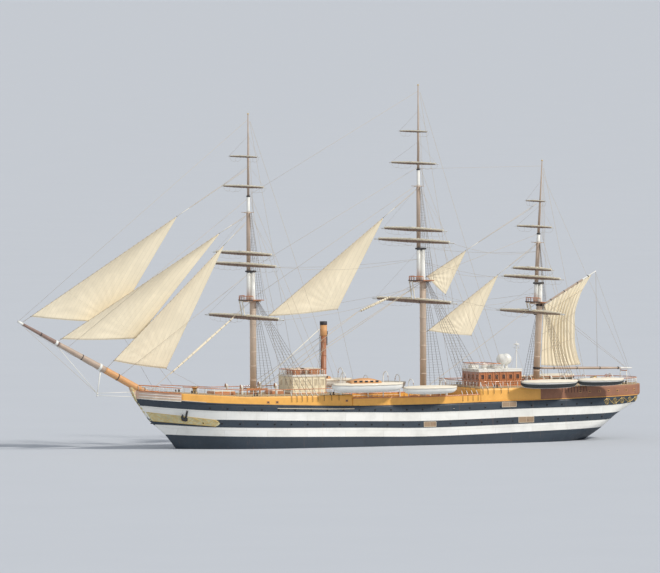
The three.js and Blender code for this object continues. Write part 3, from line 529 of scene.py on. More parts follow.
class Shape:
    """Surfaces gathered into one mesh: points, a UV pair for each, and faces with their finish."""

    def __init__(self):
        self.points, self.uvs, self.faces, self.count = [], [], [], 0

    def add(self, points, faces, finish, uv=None, smooth=True):
        """Points with blocks of faces over them. finish is one name, or one for each block."""
        points = np.asarray(points, float).reshape(-1, 3)
        self.points.append(points)
        self.uvs.append(points[:, [0, 2]] if uv is None else np.asarray(uv, float).reshape(-1, 2))
        for block, name in zip(faces, [finish] * len(faces) if isinstance(finish, str) else finish):
            if len(block):
                self.faces.append((np.asarray(block) + self.count, name, smooth))
        self.count += len(points)

    def surface(self, points, finish, wrap=False, caps=False, uv=None, smooth=True):
        """A grid of points (rows, columns, 3), closed round if wrap, and with flat ends if caps. finish is
        one name or an array of names that broadcasts over the faces."""
        rows, columns = points.shape[:2]
        faces = grid_faces(rows, columns, wrap)
        names = np.broadcast_to(finish, (rows - 1, len(faces) // (rows - 1))).ravel()
        kinds = list(dict.fromkeys(names.tolist()))
        blocks = [faces[names == kind] for kind in kinds]
        if caps:
            ring = np.arange(columns)[None]
            blocks += [ring[:, ::-1], ring + (rows - 1) * columns]
            kinds += [kinds[0], kinds[-1]]
        self.add(points, blocks, kinds, uv, smooth)

    def turned(self, profile, finish, sides=24, at=(0, 0, 0), axis=2, caps=True):
        """A profile of (radius, height) turned about an axis through a place, as lathe() does."""
        self.surface(lathe(profile, sides, at, axis), finish, True, caps)

    def rods(self, starts, ends, radius, finish, sides=5, end_radius=None):
        """Straight round rods, one from each start to its end: a ring of points about both ends."""
        a, b = np.broadcast_arrays(*(np.atleast_2d(np.asarray(v, float)) for v in (starts, ends)))
        along = unit(b - a)
        upright = np.abs(along[:, 2:]) >= 0.9
        side = unit(np.cross(np.where(upright, [[1.0, 0.0, 0.0]], [[0.0, 0.0, 1.0]]), along))
        turn, ring = circle(sides, side, np.cross(along, side))
        last = radius if end_radius is None else end_radius
        points = np.stack([a[:, None] + ring * radius, b[:, None] + ring * last], 1)
        base = np.arange(len(a))[:, None, None] * 2 * sides
        one = np.arange(sides)
        quads = np.stack([one, (one + 1) % sides, sides + (one + 1) % sides, sides + one], -1)
        uv = np.zeros(points.shape[:3] + (2,))
        uv[..., 0] = turn * radius
        uv[:, 1, :, 1] = np.linalg.norm(b - a, axis=1, keepdims=True)
        faces = [(base + quads).reshape(-1, 4), (base + one[::-1]).reshape(-1, sides),
                 (base + sides + one).reshape(-1, sides)]
        self.add(points, faces, finish, uv)

    def chain(self, path, radius, finish, sides=4):
        """Rods from each point of a path to the next one."""
        self.rods(path[:-1], path[1:], radius, finish, sides)

    def tube(self, path, radius, finish, sides=8):
        """A round tube along a path: a ring of points square to the path at each of its points."""
        path = np.asarray(path, float)
        along = unit(np.gradient(path, axis=0))
        flat = np.linalg.svd(path - path.mean(0))[2][2]
        side = unit(flat - (along @ flat)[:, None] * along)
        turn, ring = circle(sides, side, np.cross(along, side))
        points = path[:, None] + ring * np.broadcast_to(radius, len(path))[:, None, None]
        uv = np.stack(np.broadcast_arrays(turn * np.max(radius), distances(path)[:, None]), -1)
        self.surface(points, finish, wrap=True, caps=True, uv=uv)

    def blocks(self, centres, extents, finish, chamfer=0.0, turns=None):
        """Blocks with chamfered edges: eight points round, at four heights, for each centre and size.
        turns holds a rotation matrix for each block."""
        centres = np.atleast_2d(np.asarray(centres, float))
        half = np.broadcast_to(np.asarray(extents, float) / 2, centres.shape)
        c = np.minimum(chamfer, half.min(1) * 0.6)[:, None] + 1e-6
        corner = np.array([[1, 1], [1, 1], [-1, 1], [-1, 1], [-1, -1], [-1, -1], [1, -1], [1, -1]])
        cut = np.array([[0, 1], [1, 0], [1, 0], [0, 1], [0, 1], [1, 0], [1, 0], [0, 1]])
        levels = []
        for low, shrink in ((-1, 1), (-1, 0), (1, 0), (1, 1)):
            flat = corner * (half[:, None, :2] - c[:, None] * (cut + shrink * (1 - cut * 0.4)))
            z = low * (half[:, 2:3] - (c if shrink == 0 else 0))
            levels.append(spots(flat[..., 0], flat[..., 1], z))
        local = np.stack(levels, 1).reshape(len(centres), 32, 3)
        if turns is not None:
            local = rotated(local, turns)
        base = np.arange(len(centres))[:, None, None] * 32
        ring = np.arange(8)[None]
        faces = [(base + grid_faces(4, 8, True)).reshape(-1, 4), (base + ring[:, ::-1]).reshape(-1, 8),
                 (base + ring + 24).reshape(-1, 8)]
        self.add(centres[:, None] + local, faces, finish, smooth=False)

    def copies(self, part, places, turns=None):
        """Another shape set down at each of the places, turned by a matrix for each."""
        places = np.atleast_2d(np.asarray(places, float))
        local = np.broadcast_to(np.concatenate(part.points), (len(places), part.count, 3))
        if turns is not None:
            local = rotated(local, turns)
        base = np.arange(len(places))[:, None, None] * part.count + self.count
        self.points.append((local + places[:, None]).reshape(-1, 3))
        self.uvs.append(np.tile(np.concatenate(part.uvs), (len(places), 1)))
        self.faces += [((base + block).reshape(-1, block.shape[1]), finish, smooth)
                       for block, finish, smooth in part.faces]
        self.count += part.count * len(places)


def rotated(groups, turns):
    """Groups of points, each turned by its own matrix."""
    return np.einsum("nij,nkj->nki", np.broadcast_to(turns, (len(groups), 3, 3)), groups)


def lathe(profile, sides=24, at=(0, 0, 0), axis=2):
    """Rings of points for a profile of (radius, height) turned about an axis through a place."""
    radius, height = np.asarray(profile, float).T[..., None]
    turn = np.arange(sides) * 2 * np.pi / sides
    radius = np.maximum(radius, 1e-5)
    return np.roll(spots(radius * np.cos(turn), radius * np.sin(turn), height), (axis + 1) % 3, -1) + at


def hoop(inner, outer, middle, half, bevel):
    """Profile of a band round a pole: from the inner radius to the outer one and back, with bevelled
    edges."""
    return [(inner, middle - half), (outer, middle - half + bevel), (outer, middle + half - bevel),
            (inner, middle + half)]


def collar(inner, thick, tall):
    """Profile of a loose ring round a mast: a closed rectangle."""
    corners = ((0, -1), (thick, -1), (thick, 1), (0, 1), (0, -1))
    return [(inner + out, side * tall / 2) for out, side in corners]


def piece(name, shape, body="hull", replaces=(), merge=None, flip=True):
    """Puts a shape into a mesh object with one material slot for each finish, which rides on a body if one is
    given. merge joins points that are this close, and flip turns the faces outwards."""
    names = list(dict.fromkeys(finish for _, finish, _ in shape.faces))
    mesh = bpy.data.meshes.new(name)
    points = np.concatenate(shape.points)
    loops = np.concatenate([block.ravel() for block, _, _ in shape.faces])
    counts, indices, smooth = (np.concatenate(rows) for rows in zip(*(
        (np.full(len(block), block.shape[1]), np.full(len(block), names.index(finish)),
         np.full(len(block), soft))
        for block, finish, soft in shape.faces)))
    mesh.vertices.add(len(points))
    mesh.vertices.foreach_set("co", points.ravel())
    mesh.loops.add(len(loops))
    mesh.loops.foreach_set("vertex_index", loops)
    mesh.polygons.add(len(counts))
    mesh.polygons.foreach_set("loop_start", np.concatenate([[0], np.cumsum(counts)[:-1]]))
    mesh.polygons.foreach_set("material_index", indices)
    mesh.update(calc_edges=True)
    mesh.polygons.foreach_set("use_smooth", smooth)
    layer = mesh.uv_layers.new(name="lay")
    layer.data.foreach_set("uv", np.concatenate(shape.uvs)[loops].ravel())
    if merge or flip:
        work = bmesh.new()
        work.from_mesh(mesh)
        if merge:
            bmesh.ops.remove_doubles(work, verts=work.verts, dist=merge)
        if flip:
            bmesh.ops.recalc_face_normals(work, faces=work.faces)
        work.to_mesh(mesh)
        work.free()
    for finish in names:
        mesh.materials.append(material(finish))
    made = bpy.data.objects.new(name, mesh)
    bpy.context.scene.collection.objects.link(made)
    if body:
        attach(made, body)
    if replaces:
        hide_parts(*replaces)
    return made


def repaint(node, finish):
    """Gives a carried-over solid its finish."""
    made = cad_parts[node]
    made.data.materials.clear()
    made.data.materials.append(material(finish))


# Lines of the hull


def fair(xs, ys, at):
    """Monotone cubic through the points: each inner slope is the harmonic mean of its neighbours, and zero
    at a turning point."""
    xs, ys, at = (np.asarray(v, float) for v in (xs, ys, at))
    gap = np.diff(xs)
    slope = np.diff(ys) / gap
    product = slope[1:] * slope[:-1]
    total = slope[1:] + slope[:-1]
    inner = np.where(product > 0, 2 * product / np.where(total == 0, 1, total), 0)
    tangent = np.concatenate([slope[:1], inner, slope[-1:]])
    i = np.clip(np.searchsorted(xs, at, side="right") - 1, 0, len(gap) - 1)
    t = np.clip((at - xs[i]) / gap[i], 0, 1)
    h = gap[i]
    return (ys[i] * (2 * t**3 - 3 * t**2 + 1) + ys[i + 1] * (3 * t**2 - 2 * t**3)
            + tangent[i] * h * (t**3 - 2 * t**2 + t) + tangent[i + 1] * h * (t**3 - t**2))


def station(column, x):
    """One measure of the hull's section at x."""
    scale = 1 if column == FULLNESS else MM
    return fair(STATIONS[:, 0] * MM, STATIONS[:, column] * scale, x)


def half_breadth(x, z):
    """Half-breadth of the side at x and z: up to the wall it turns as a superellipse of the given fullness,
    and above it runs straight to the sheer."""
    body, wall, sheer, wall_half, sheer_half, fullness = (station(i, x) for i in range(BODY, FULLNESS + 1))
    left = np.clip(1 - (z - body) / (wall - body), 0, 1)
    turn = KEEL_HALF + (1 - left**fullness) ** (1 / fullness) * (wall_half - KEEL_HALF)
    rise = np.clip((z - wall) / (sheer - wall), 0, 1)
    return np.where(z > wall, wall_half + rise * (sheer_half - wall_half), turn)


def side_at(x, z):
    """half_breadth() averaged over a short height, which fairs the turn at the wall and keeps both ends."""
    body, sheer = station(BODY, x), station(SHEER, x)
    reach = np.clip(np.minimum(0.5 * (z - body), 0.9 * (sheer - z)), 0, FAIRING)
    return np.mean([half_breadth(x, z + step * reach) for step in np.linspace(-1, 1, 7)], 0)


def band(index, x):
    """Height of one of the four edges of the white bands."""
    return fair(BANDS[:, 0] * MM, BANDS[:, index + 1] * MM, x)


def sheer_at(x):
    """Height of the sheer, the top edge of the hull."""
    return station(SHEER, x)


def edge_at(x):
    """Half-breadth of the deck edge."""
    return station(SHEER_HALF, x)


def deck_at(x):
    """Height of the deck at x: forecastle, waist or poop."""
    x = np.asarray(x, float)
    f = FORECASTLE
    part = np.clip((x - f.knee) / (f.fore - f.knee), 0, 1)
    raised = f.top + part * (f.fore_top - f.top)
    return np.where(x > f.aft, raised, np.where(x < POOP.fore, POOP.top, sheer_at(x)))


def side_path(xs, height, side, out=0.0):
    """Points along the ship's side at the given heights, set out from it."""
    return spots(xs, side * (side_at(xs, height) + out), height)


def rake_frame(mast, points):
    """Points in a mast's own frame (x from its place on the deck, y, and height along the rake) in the
    ship's."""
    x, y, z = np.moveaxis(np.asarray(points, float), -1, 0)
    c, s = math.cos(mast.rake), math.sin(mast.rake)
    return np.stack([mast.x + x * c - z * s, y, mast.deck + x * s + z * c], -1)


def up(mast, height):
    """Height along a mast, from its deck, of a height above the waterline."""
    return (height - mast.deck) / math.cos(mast.rake)


# Hull


def build_hull():
    """The skin is a grid: columns along the ship and rows up each section. Below the waterline the rows are
    even turns of the bilge's superellipse, and above it they lie between the edges of the paint bands, so
    that every edge of paint is an edge of the mesh."""
    xs = np.unique(np.concatenate([
        np.linspace(-4.17, -3.6, 26), np.linspace(-3.6, -2.861, 22), np.linspace(-2.8599, 2.4, 58),
        np.linspace(2.4, 3.95, 52), np.linspace(3.95, 4.01, 5)]))[:, None]
    body, wall, sheer, fullness = (station(i, xs) for i in (BODY, WALL, SHEER, FULLNESS))
    over_screw = xs < APERTURE.fore
    low = np.where(over_screw, np.maximum(body, APERTURE.high), body)
    heel = np.where(over_screw, low, station(HEEL, xs))

    def turn_of(z):
        """Angle of the superellipse, from 0 at the keel, at which the side reaches a height."""
        return np.arccos(np.clip(1 - (z - body) / (wall - body), 0, 1) ** (fullness / 2))

    start, end = turn_of(low), turn_of(np.maximum(low, 0.0))
    angle = start + (end - start) * np.linspace(0, 1, 17)
    under = body + (1 - np.cos(angle) ** (2 / fullness)) * (wall - body)
    edges = [np.maximum(edge, low) for edge in (np.zeros_like(xs), *(band(i, xs) for i in range(4)), sheer)]
    zones = [under] + [a + (b - a) * np.linspace(0, 1, 6)[1:] for a, b in zip(edges, edges[1:])]
    z = np.concatenate(zones, 1)
    y = side_at(xs, z)
    z = np.concatenate([heel, heel, z, sheer], 1)
    y = np.concatenate([0 * heel, np.where(over_screw, y[:, :1], KEEL_HALF * 0.8), y, 0 * heel], 1)
    swing = np.radians([88, 70, 50, 30, 12])[:, None]
    counter = spots(xs[0] - 0.03 * np.sin(swing), y[0] * np.cos(swing), z[0])
    port = np.concatenate([counter, spots(xs, y, z)])
    port = np.concatenate([port[:1] * [1, 0, 1], port, port[-1:] * [1, 0, 1]])
    uv = np.stack(np.broadcast_arrays(port[:, :, 0], distances(port[100])), -1)
    middle = (port[1:, 1:] + port[:-1, :-1]) / 2
    level = sum(middle[..., 2] > band(i, middle[..., 0]) for i in range(4))
    finish = np.where(middle[..., 2] < 0, "bottom", np.where(level % 2 == 1, "hull_white", "hull_black"))
    shape = Shape()
    for side in SIDES:
        shape.surface(mirrored(port, side), finish, uv=uv)
    piece("hull_shell", shape, replaces=("hull",), merge=2e-5)


def build_stern_post():
    """Sternpost and sole of the propeller's aperture, cut from a plate with bevelled sides, and the stern
    tube."""
    shape = Shape()
    post = np.array([[-3.14, -0.19], [-3.14, -0.73], [-2.85, -0.73], [-2.85, -0.645], [-3.07, -0.645],
                     [-3.09, -0.62], [-3.09, -0.2]])
    middle = np.array([-3.1, -0.6])
    ring = middle + (post - middle) * np.array([0.985, 1, 1, 0.985])[:, None, None]
    points = spots(ring[..., 0], np.array([[-0.02], [-0.014], [0.014], [0.02]]), ring[..., 1])
    shape.surface(points, "bottom", wrap=True, smooth=False)
    for base in points[[0, 3]]:
        shape.add(base, [np.array([[0, 1, 4, 6], [1, 2, 3, 4]]), np.array([[4, 5, 6]])], "bottom",
                  smooth=False)
    tube = [(0.05, -0.004), (0.06, 0.0), (0.06, 0.1), (0.045, 0.3), (0.02, 0.42)]
    shape.turned(tube, "bottom", at=(-2.862, 0, -0.45), axis=0)
    piece("stern_post", shape)


def build_strakes():
    """Strakes are tubes along the side, at a height above the edges of the bands or the sheer."""
    shape = Shape()
    runs = (
        # from, to, height, radius, finish
        (0.78, 2.02, lambda x: sheer_at(x) - 0.035, 0.006, "pale"),
        (-4.14, 3.98, lambda x: sheer_at(x) + 0.002, 0.006, "hull_black"),
        (0.7, 3.45, lambda x: sheer_at(x) + 0.01 * np.clip((x - 0.7) / 1.5, 0, 1), 0.011, "hull_black"),
        (-4.12, -1.28, lambda x: sheer_at(x) + 0.01, 0.006, "ochre"),
        (3.1, 3.97, lambda x: sheer_at(x) + 0.024, 0.005, "pale"),
        (2.9, 3.76, lambda x: band(1, x) + 0.012, 0.007, "hull_black"),
        (-4.0, 3.9, lambda x: band(3, x) + 0.001, 0.004, "white"),
        (-3.6, 3.6, lambda x: band(1, x) + 0.001, 0.003, "white"),
    )
    for side in SIDES:
        for aft, fore, height, radius, finish in runs:
            xs = np.linspace(aft, fore, 90)
            shape.tube(side_path(xs, height(xs), side, -radius * 0.3), radius, finish, 6)
    piece("side_strakes", shape)


def build_ports():
    """Rows of scuttles lie on the side, and small framed windows on the walls of the raised decks."""
    shape, scuttle, port = Shape(), Shape(), Shape()
    scuttle.turned([(0.0145, -0.006), (0.0145, 0.004), (0.012, 0.005), (0.0105, 0.003)], "iron", 14, axis=1,
                   caps=False)
    scuttle.turned([(0.011, -0.004), (0.011, 0.0022)], "glass", 14, axis=1)
    rows = (
        (np.arange(-3.4, 3.2, SCUTTLE_STEP), lambda x: (band(1, x) + band(2, x)) / 2),
        (np.arange(-3.2, 3.3, SCUTTLE_STEP), lambda x: band(3, x) + 0.4 * (sheer_at(x) - band(3, x))),
    )
    for side in SIDES:
        for xs, height in rows:
            z = height(xs)
            shape.copies(scuttle, side_path(xs, z, side), on_side(xs, z, side, 0.02))
    windows(port, (0, 0, 0), False, 0.034, 0.03, 0.01, "tan")
    for side in SIDES:
        for xs, height in ((np.arange(-4.02, -2.9, PORT_STEP), 0.75),
                           (np.array([0.9, 2.02, 2.16]), 0.695)):
            part = (height - sheer_at(xs)) / (deck_at(xs) - sheer_at(xs))
            half = edge_at(xs) - DECK_INSET - TUMBLEHOME * part
            swing = np.arctan2(edge_at(xs + 0.02) - edge_at(xs - 0.02), 0.04)
            shape.copies(port, spots(xs, side * half, height), facing(side, 0 * swing, swing))
    piece("scuttles_and_ports", shape)


def build_side_doors():
    """Doors in the side: a block laid on the side, with a frame and a bar down its middle."""
    shape = Shape()
    for side in SIDES:
        for x, z, wide, high in ((-1.78, 0.585, 0.24, 0.075), (-2.07, 0.35, 0.26, 0.085),
                                 (-0.46, 0.315, 0.2, 0.075)):
            place = side_path(x, z, side, -0.001)
            turns = on_side(np.array([x]), z, side, 0.05)
            shape.blocks(place, (wide, 0.01, high), "door", 0.002, turns)
            trim = Shape()
            for end in (1, -1):
                trim.blocks((0, 0, end * high / 2), (wide, 0.014, 0.006), "pale", 0.001)
                trim.blocks((end * wide / 2, 0, 0), (0.006, 0.014, high), "pale", 0.001)
            trim.blocks((0, 0, 0), (0.004, 0.0115, high), "pale", 0.001)
            shape.copies(trim, place, turns)
    piece("side_doors", shape)


def on_side(x, z, side, reach):
    """facing() for the side at x and z, with its slope along the ship taken over a reach to both sides."""
    lean = np.arctan2(side_at(x, z + 0.01) - side_at(x, z - 0.01), 0.02)
    swing = np.arctan2(side_at(x + reach, z) - side_at(x - reach, z), 2 * reach)
    return facing(side, lean, swing)


def facing(side, lean, swing):
    """Matrices that turn a shape facing +Y to lie on the ship's side: lean is the side's slope outwards with
    height, and swing its slope outwards towards the bow."""
    x = np.stack([np.cos(swing), side * np.sin(swing), 0 * swing], -1)
    z = np.stack([0 * lean, side * np.sin(lean), np.cos(lean)], -1)
    z = unit(z - x * (x * z).sum(-1, keepdims=True))
    return np.stack([x, np.cross(z, x) * side, z], -1)


# Ornament


def scrollwork(shape, place, count, ratio, size):
    """A running scroll: its stem is a sine wave along the field, and from each crest a spiral winds in
    towards the middle of the loop. Leaves stand on both sides of the stem. place() puts a pair of parts of
    the field's length and height on the ship, and ratio is its height over its length."""
    along, crest = np.linspace(0.02, 0.98, 16 * count), 0.36
    wave = 0.5 + crest * np.sin(np.pi * count * along)
    shape.tube(place(along, wave), size * (1.05 + 0.25 * np.sin(60 * along)), "gilding", 6)
    turn = np.linspace(0, 2.1 * 2 * np.pi, 44)
    reach = 0.33 * (1 - turn / turn[-1]) ** 0.8 + 0.03
    for k in range(count):
        flip = 1 if k % 2 else -1
        s = (k + 0.5) / count + reach * np.cos(turn) * ratio
        t = 0.5 + flip * 0.06 + flip * reach * np.sin(turn)
        shape.tube(place(s, t), size * np.linspace(0.9, 0.55, 44), "gilding", 6)
    leaf = Shape()
    rings = lathe([(0.0, -1.9), (0.7, -1.2), (1.0, 0.0), (0.6, 1.3), (0.0, 2.4)], 8, axis=0)
    leaf.surface(rings * size, "gilding", True)
    s = np.linspace(0.04, 0.96, 5 * count)
    offset = np.where(np.arange(5 * count) % 2, 0.17, -0.17)
    t = np.clip(0.5 + crest * np.sin(np.pi * count * s) + offset, 0.08, 0.92)
    lean = np.cos(np.pi * count * s) * 0.9 + np.sign(offset) * 0.5
    turns = np.zeros((5 * count, 3, 3))
    turns[:, 0, 0] = turns[:, 2, 2] = np.cos(lean)
    turns[:, 0, 2], turns[:, 2, 0] = -np.sin(lean), np.sin(lean)
    turns[:, 1, 1] = 1
    shape.copies(leaf, place(s, t), turns)


def build_ornament():
    """Carved fields lie on the side at the bow and the quarters, and leafwork runs up the stem."""
    lines = STATIONS[-9:]
    for name, side in PORT_AND_STARBOARD:
        def at_bow(s, t, out=0.002):
            """A place on the bow's field: its after end is a parabola, its fore end the stem's line."""
            fore = np.interp(0.426 + 0.134 * t, lines[:, HEEL] * MM, lines[:, 0] * MM) - 0.02
            aft = 2.87 + 0.05 * (2 * t - 1) ** 2
            return side_path(aft + s * (fore - aft), 0.344 + 0.082 * s + t * (0.095 + 0.039 * s), side, out)

        def at_quarter(s, t):
            """A place on the quarter's field, between the upper band and the sheer."""
            x = -4.15 + 0.74 * s
            return side_path(x, band(3, x) + 0.008 + t * (sheer_at(x) - band(3, x) - 0.012), side, 0.002)

        shape = Shape()
        s, t = np.meshgrid(np.linspace(0, 1, 70), np.linspace(0, 1, 9), indexing="ij")
        ring = np.concatenate([at_bow(s, t), at_bow(s, t, -0.003)[:, ::-1]], 1)
        shape.surface(ring, "field", True, True)
        scrollwork(shape, at_bow, 7, 0.12, 0.0042)
        scrollwork(shape, at_quarter, 5, 0.13, 0.0038)
        for edge in (0.0, 1.0):
            shape.tube(at_bow(np.linspace(0, 1, 60), np.full(60, edge)), 0.0035, "gilding", 6)
        piece(f"carving_{name}", shape)

    shape = Shape()
    stem = np.array([[3.78, 0.43], [3.85, 0.515], [3.92, 0.61], [3.965, 0.675], [4.012, 0.735], [4.05, 0.8],
                     [4.082, 0.87], [4.103, 0.93]])
    height = np.linspace(stem[0, 1], stem[-1, 1], 60)
    x = fair(stem[:, 1], stem[:, 0], height) - 0.002
    ripple = 0.012 + 0.0035 * np.sin(np.arange(60) * 0.9)
    turn = np.linspace(0, 4 * np.pi, 50)
    curl = 0.036 * (1 - turn / turn[-1]) ** 0.8 + 0.004
    for side in (-1, 1):
        out = np.interp(height, [0.43, 0.73, 0.8], [0.016, 0.02, 0.03])
        shape.tube(spots(x - 0.012, side * out, height), ripple, "field", 8)
        shape.tube(spots(4.056 + curl * np.cos(turn), side * 0.037, 0.9 + curl * np.sin(turn)),
                   np.linspace(0.006, 0.003, 50), "gilding", 6)
    shape.tube(spots(x, 0, height), 0.006, "gilding", 8)
    piece("stem_carving", shape)

    shape = Shape()
    xs = np.linspace(FORECASTLE.fore + 0.005, 3.985, 40)
    top = 0.84 + (xs - FORECASTLE.fore) / 0.635 * 0.05
    for side in SIDES:
        for part, radius, finish in ((0.06, 0.006, "white"), (0.36, 0.005, "white"), (0.68, 0.005, "white"),
                                     (1.0, 0.009, "rail")):
            z = sheer_at(xs) + part * (top - sheer_at(xs))
            shape.tube(spots(xs, side * (edge_at(xs) - 0.002), z), radius, finish, 8)
        railing(shape, spots(xs, side * (edge_at(xs) - 0.01), top), 0.08, 0.06)
    piece("head_rails", shape)


# Raised decks, bulwarks and rails


def deck_slab(xs, half, height, camber, thick=0.004):
    """A planked deck: across it the height falls as the square of the distance from the centreline."""
    across = np.linspace(-1, 1, 17)
    z = np.broadcast_to(height, len(xs))[:, None] + camber * (1 - across**2)
    top, low = (spots(xs[:, None], half[:, None] * across, z + side * thick) for side in (1, -1))
    return np.concatenate([top, low[:, ::-1]], 1)


def build_decks():
    """Each raised deck is a run of sections: up the side with a slight tumblehome, then over the planked
    deck. Aft of the poop's first section its walls swing in a quarter ellipse to an overhang on the
    centreline."""
    for name, xs in (("forecastle", np.linspace(FORECASTLE.aft, FORECASTLE.fore, 70)),
                     ("poop", np.linspace(POOP.aft, POOP.fore, 80))):
        poop = name == "poop"
        height = 0 * xs + POOP.top if poop else deck_at(np.maximum(xs, FORECASTLE.aft + 1e-4))
        low = sheer_at(xs) + 0.0003
        half = edge_at(xs) - DECK_INSET
        steps = np.linspace(0, 1, 7)
        side = spots(xs[:, None], half[:, None] - TUMBLEHOME * steps,
                     low[:, None] + (height - low)[:, None] * steps)
        if poop:
            bend = np.linspace(0, 1, 9)[:-1, None]
            over = np.sin(bend * np.pi / 2)
            foot = POOP.overhang_low * (1 - over) + over * low[0]
            end = spots(POOP.aft - POOP.overhang * (1 - bend**2),
                        POOP.overhang_half * (1 - over) + over * half[0] - TUMBLEHOME * steps * over,
                        foot + (POOP.top - foot) * steps)
            side = np.concatenate([end, side])
        shape = Shape()
        ring = np.concatenate([side, mirrored(side[:, ::-1], -1)], 1)
        # Aft of x = -2.3 the poop side takes the quarter finish: its own brown, darkened as painted shade
        # from the after boats.
        quarter = (ring[1:, :1, 0] < -2.3) & poop
        shape.surface(ring, np.where(quarter, "quarter", "ochre"), wrap=True, caps=True)
        inner = np.linspace(side[0, -1, 0], xs[-1], 90)
        edge, tops = (np.interp(inner, side[:, -1, 0], side[:, -1, k]) for k in (1, 2))
        shape.surface(deck_slab(inner, edge - 0.004, tops, 0.008), "deck", wrap=True, caps=True)
        piece(f"{name}_shell", shape, replaces=(name,))

    shape = Shape()
    xs = np.linspace(POOP.fore, FORECASTLE.aft, 40)
    shape.surface(deck_slab(xs, edge_at(xs) - 0.012, sheer_at(xs), 0.006), "deck", wrap=True, caps=True)
    xs = np.linspace(FORECASTLE.fore, 3.95, 20)
    shape.surface(deck_slab(xs, edge_at(xs) - 0.018, sheer_at(xs), 0.0), "deck", wrap=True, caps=True)
    piece("waist_and_head_deck", shape)

    for name, side in PORT_AND_STARBOARD:
        shape = Shape()
        xs = np.linspace(POOP.fore + 0.0005, FORECASTLE.aft - 0.0005, 50)
        outer = edge_at(xs) - BULWARK.inset
        inner = outer - BULWARK.wall
        low, high = sheer_at(xs), sheer_at(xs) + BULWARK.height
        ring = [spots(xs, side * y, z) for y, z in ((outer, low), (outer, high), (inner, high), (inner, low))]
        shape.surface(np.stack(ring, 1), "ochre", wrap=True, caps=True, smooth=False)
        shape.tube(spots(xs, side * (outer - 0.005), high + 0.003), 0.011, "rail", 8)
        xs = np.linspace(xs[0] + 0.03, xs[-1] - 0.03, 24)
        z = sheer_at(xs)
        shape.rods(spots(xs, side * (edge_at(xs) - 0.055), z),
                   spots(xs, side * (edge_at(xs) - 0.016), z + 0.105), 0.005, "ochre", 6)
        piece(f"bulwark_{name}", shape, replaces=(f"waist_bulwark_{name}",))


def railing(shape, path, height, spacing, finish="white", rows=3):
    """Open rails: stanchions stand at even distances along a path, and wires and a wooden rail run between
    them."""
    far = distances(path)
    count = max(2, int(far[-1] / spacing) + 1)
    feet, dense = (spots(*(np.interp(np.linspace(0, far[-1], n), far, path[:, k]) for k in range(3)))
                   for n in (count, count * 2))
    shape.rods(feet, feet + [0, 0, height], STANCHION_RADIUS, finish, 6)
    for level in np.arange(1, rows) / rows:
        shape.chain(feet + [0, 0, height * level], RAIL_WIRE_RADIUS, "wire")
    shape.tube(dense + [0, 0, height], RAIL_RADIUS, "rail", 6)


def build_rails():
    """Open rails run along both edges of the raised decks, across their ends and in a half ellipse at the
    stern."""
    height, spacing = sizes().rail_height, sizes().rail_spacing
    shape = Shape()
    inset = DECK_INSET + TUMBLEHOME + 0.014
    for side in SIDES:
        for aft, fore in ((FORECASTLE.aft + 0.02, FORECASTLE.fore - 0.02),
                          (POOP.aft + 0.015, POOP.fore - 0.02)):
            xs = np.linspace(aft, fore, 60)
            railing(shape, spots(xs, side * (edge_at(xs) - inset), deck_at(xs)), height, spacing)
    turn = np.linspace(-np.pi / 2, np.pi / 2, 15)
    half = edge_at(POOP.aft) - inset
    stern = spots(POOP.aft + 0.015 - 0.06 * np.cos(turn), half * np.sin(turn), POOP.top)
    railing(shape, stern, height, 0.06)
    for x, z in ((FORECASTLE.aft + 0.012, FORECASTLE.top), (POOP.fore - 0.012, POOP.top)):
        half = edge_at(x) - 0.03
        railing(shape, spots(x, np.linspace(-half, half, 30), z), height, spacing)
    piece("deck_rails", shape)


# Deckhouses and funnel


def windows(shape, centres, facing_x, wide, high, depth, finish="rail", pane="glass"):
    """Framed panes: four bars round each opening and one down its middle, and a pane or a shutter set back
    in it."""
    def turned(x, y, z):
        """Measures along, into and up the wall, as the ship's x, y and z."""
        return (y, x, z) if facing_x else (x, y, z)

    centres = np.asarray(centres, float)
    bar = 0.006
    for dx, dz, size in ((0, high / 2, (wide + 2 * bar, depth, bar)),
                         (0, -high / 2, (wide + 0.016, depth * 1.3, bar)),
                         (wide / 2, 0, (bar, depth, high)), (-wide / 2, 0, (bar, depth, high)),
                         (0, 0, (0.0035, depth * 0.7, high))):
        shape.blocks(centres + turned(dx, 0, dz), turned(*size), finish, 0.001)
    shape.blocks(centres, turned(wide, depth * 0.3, high), pane)


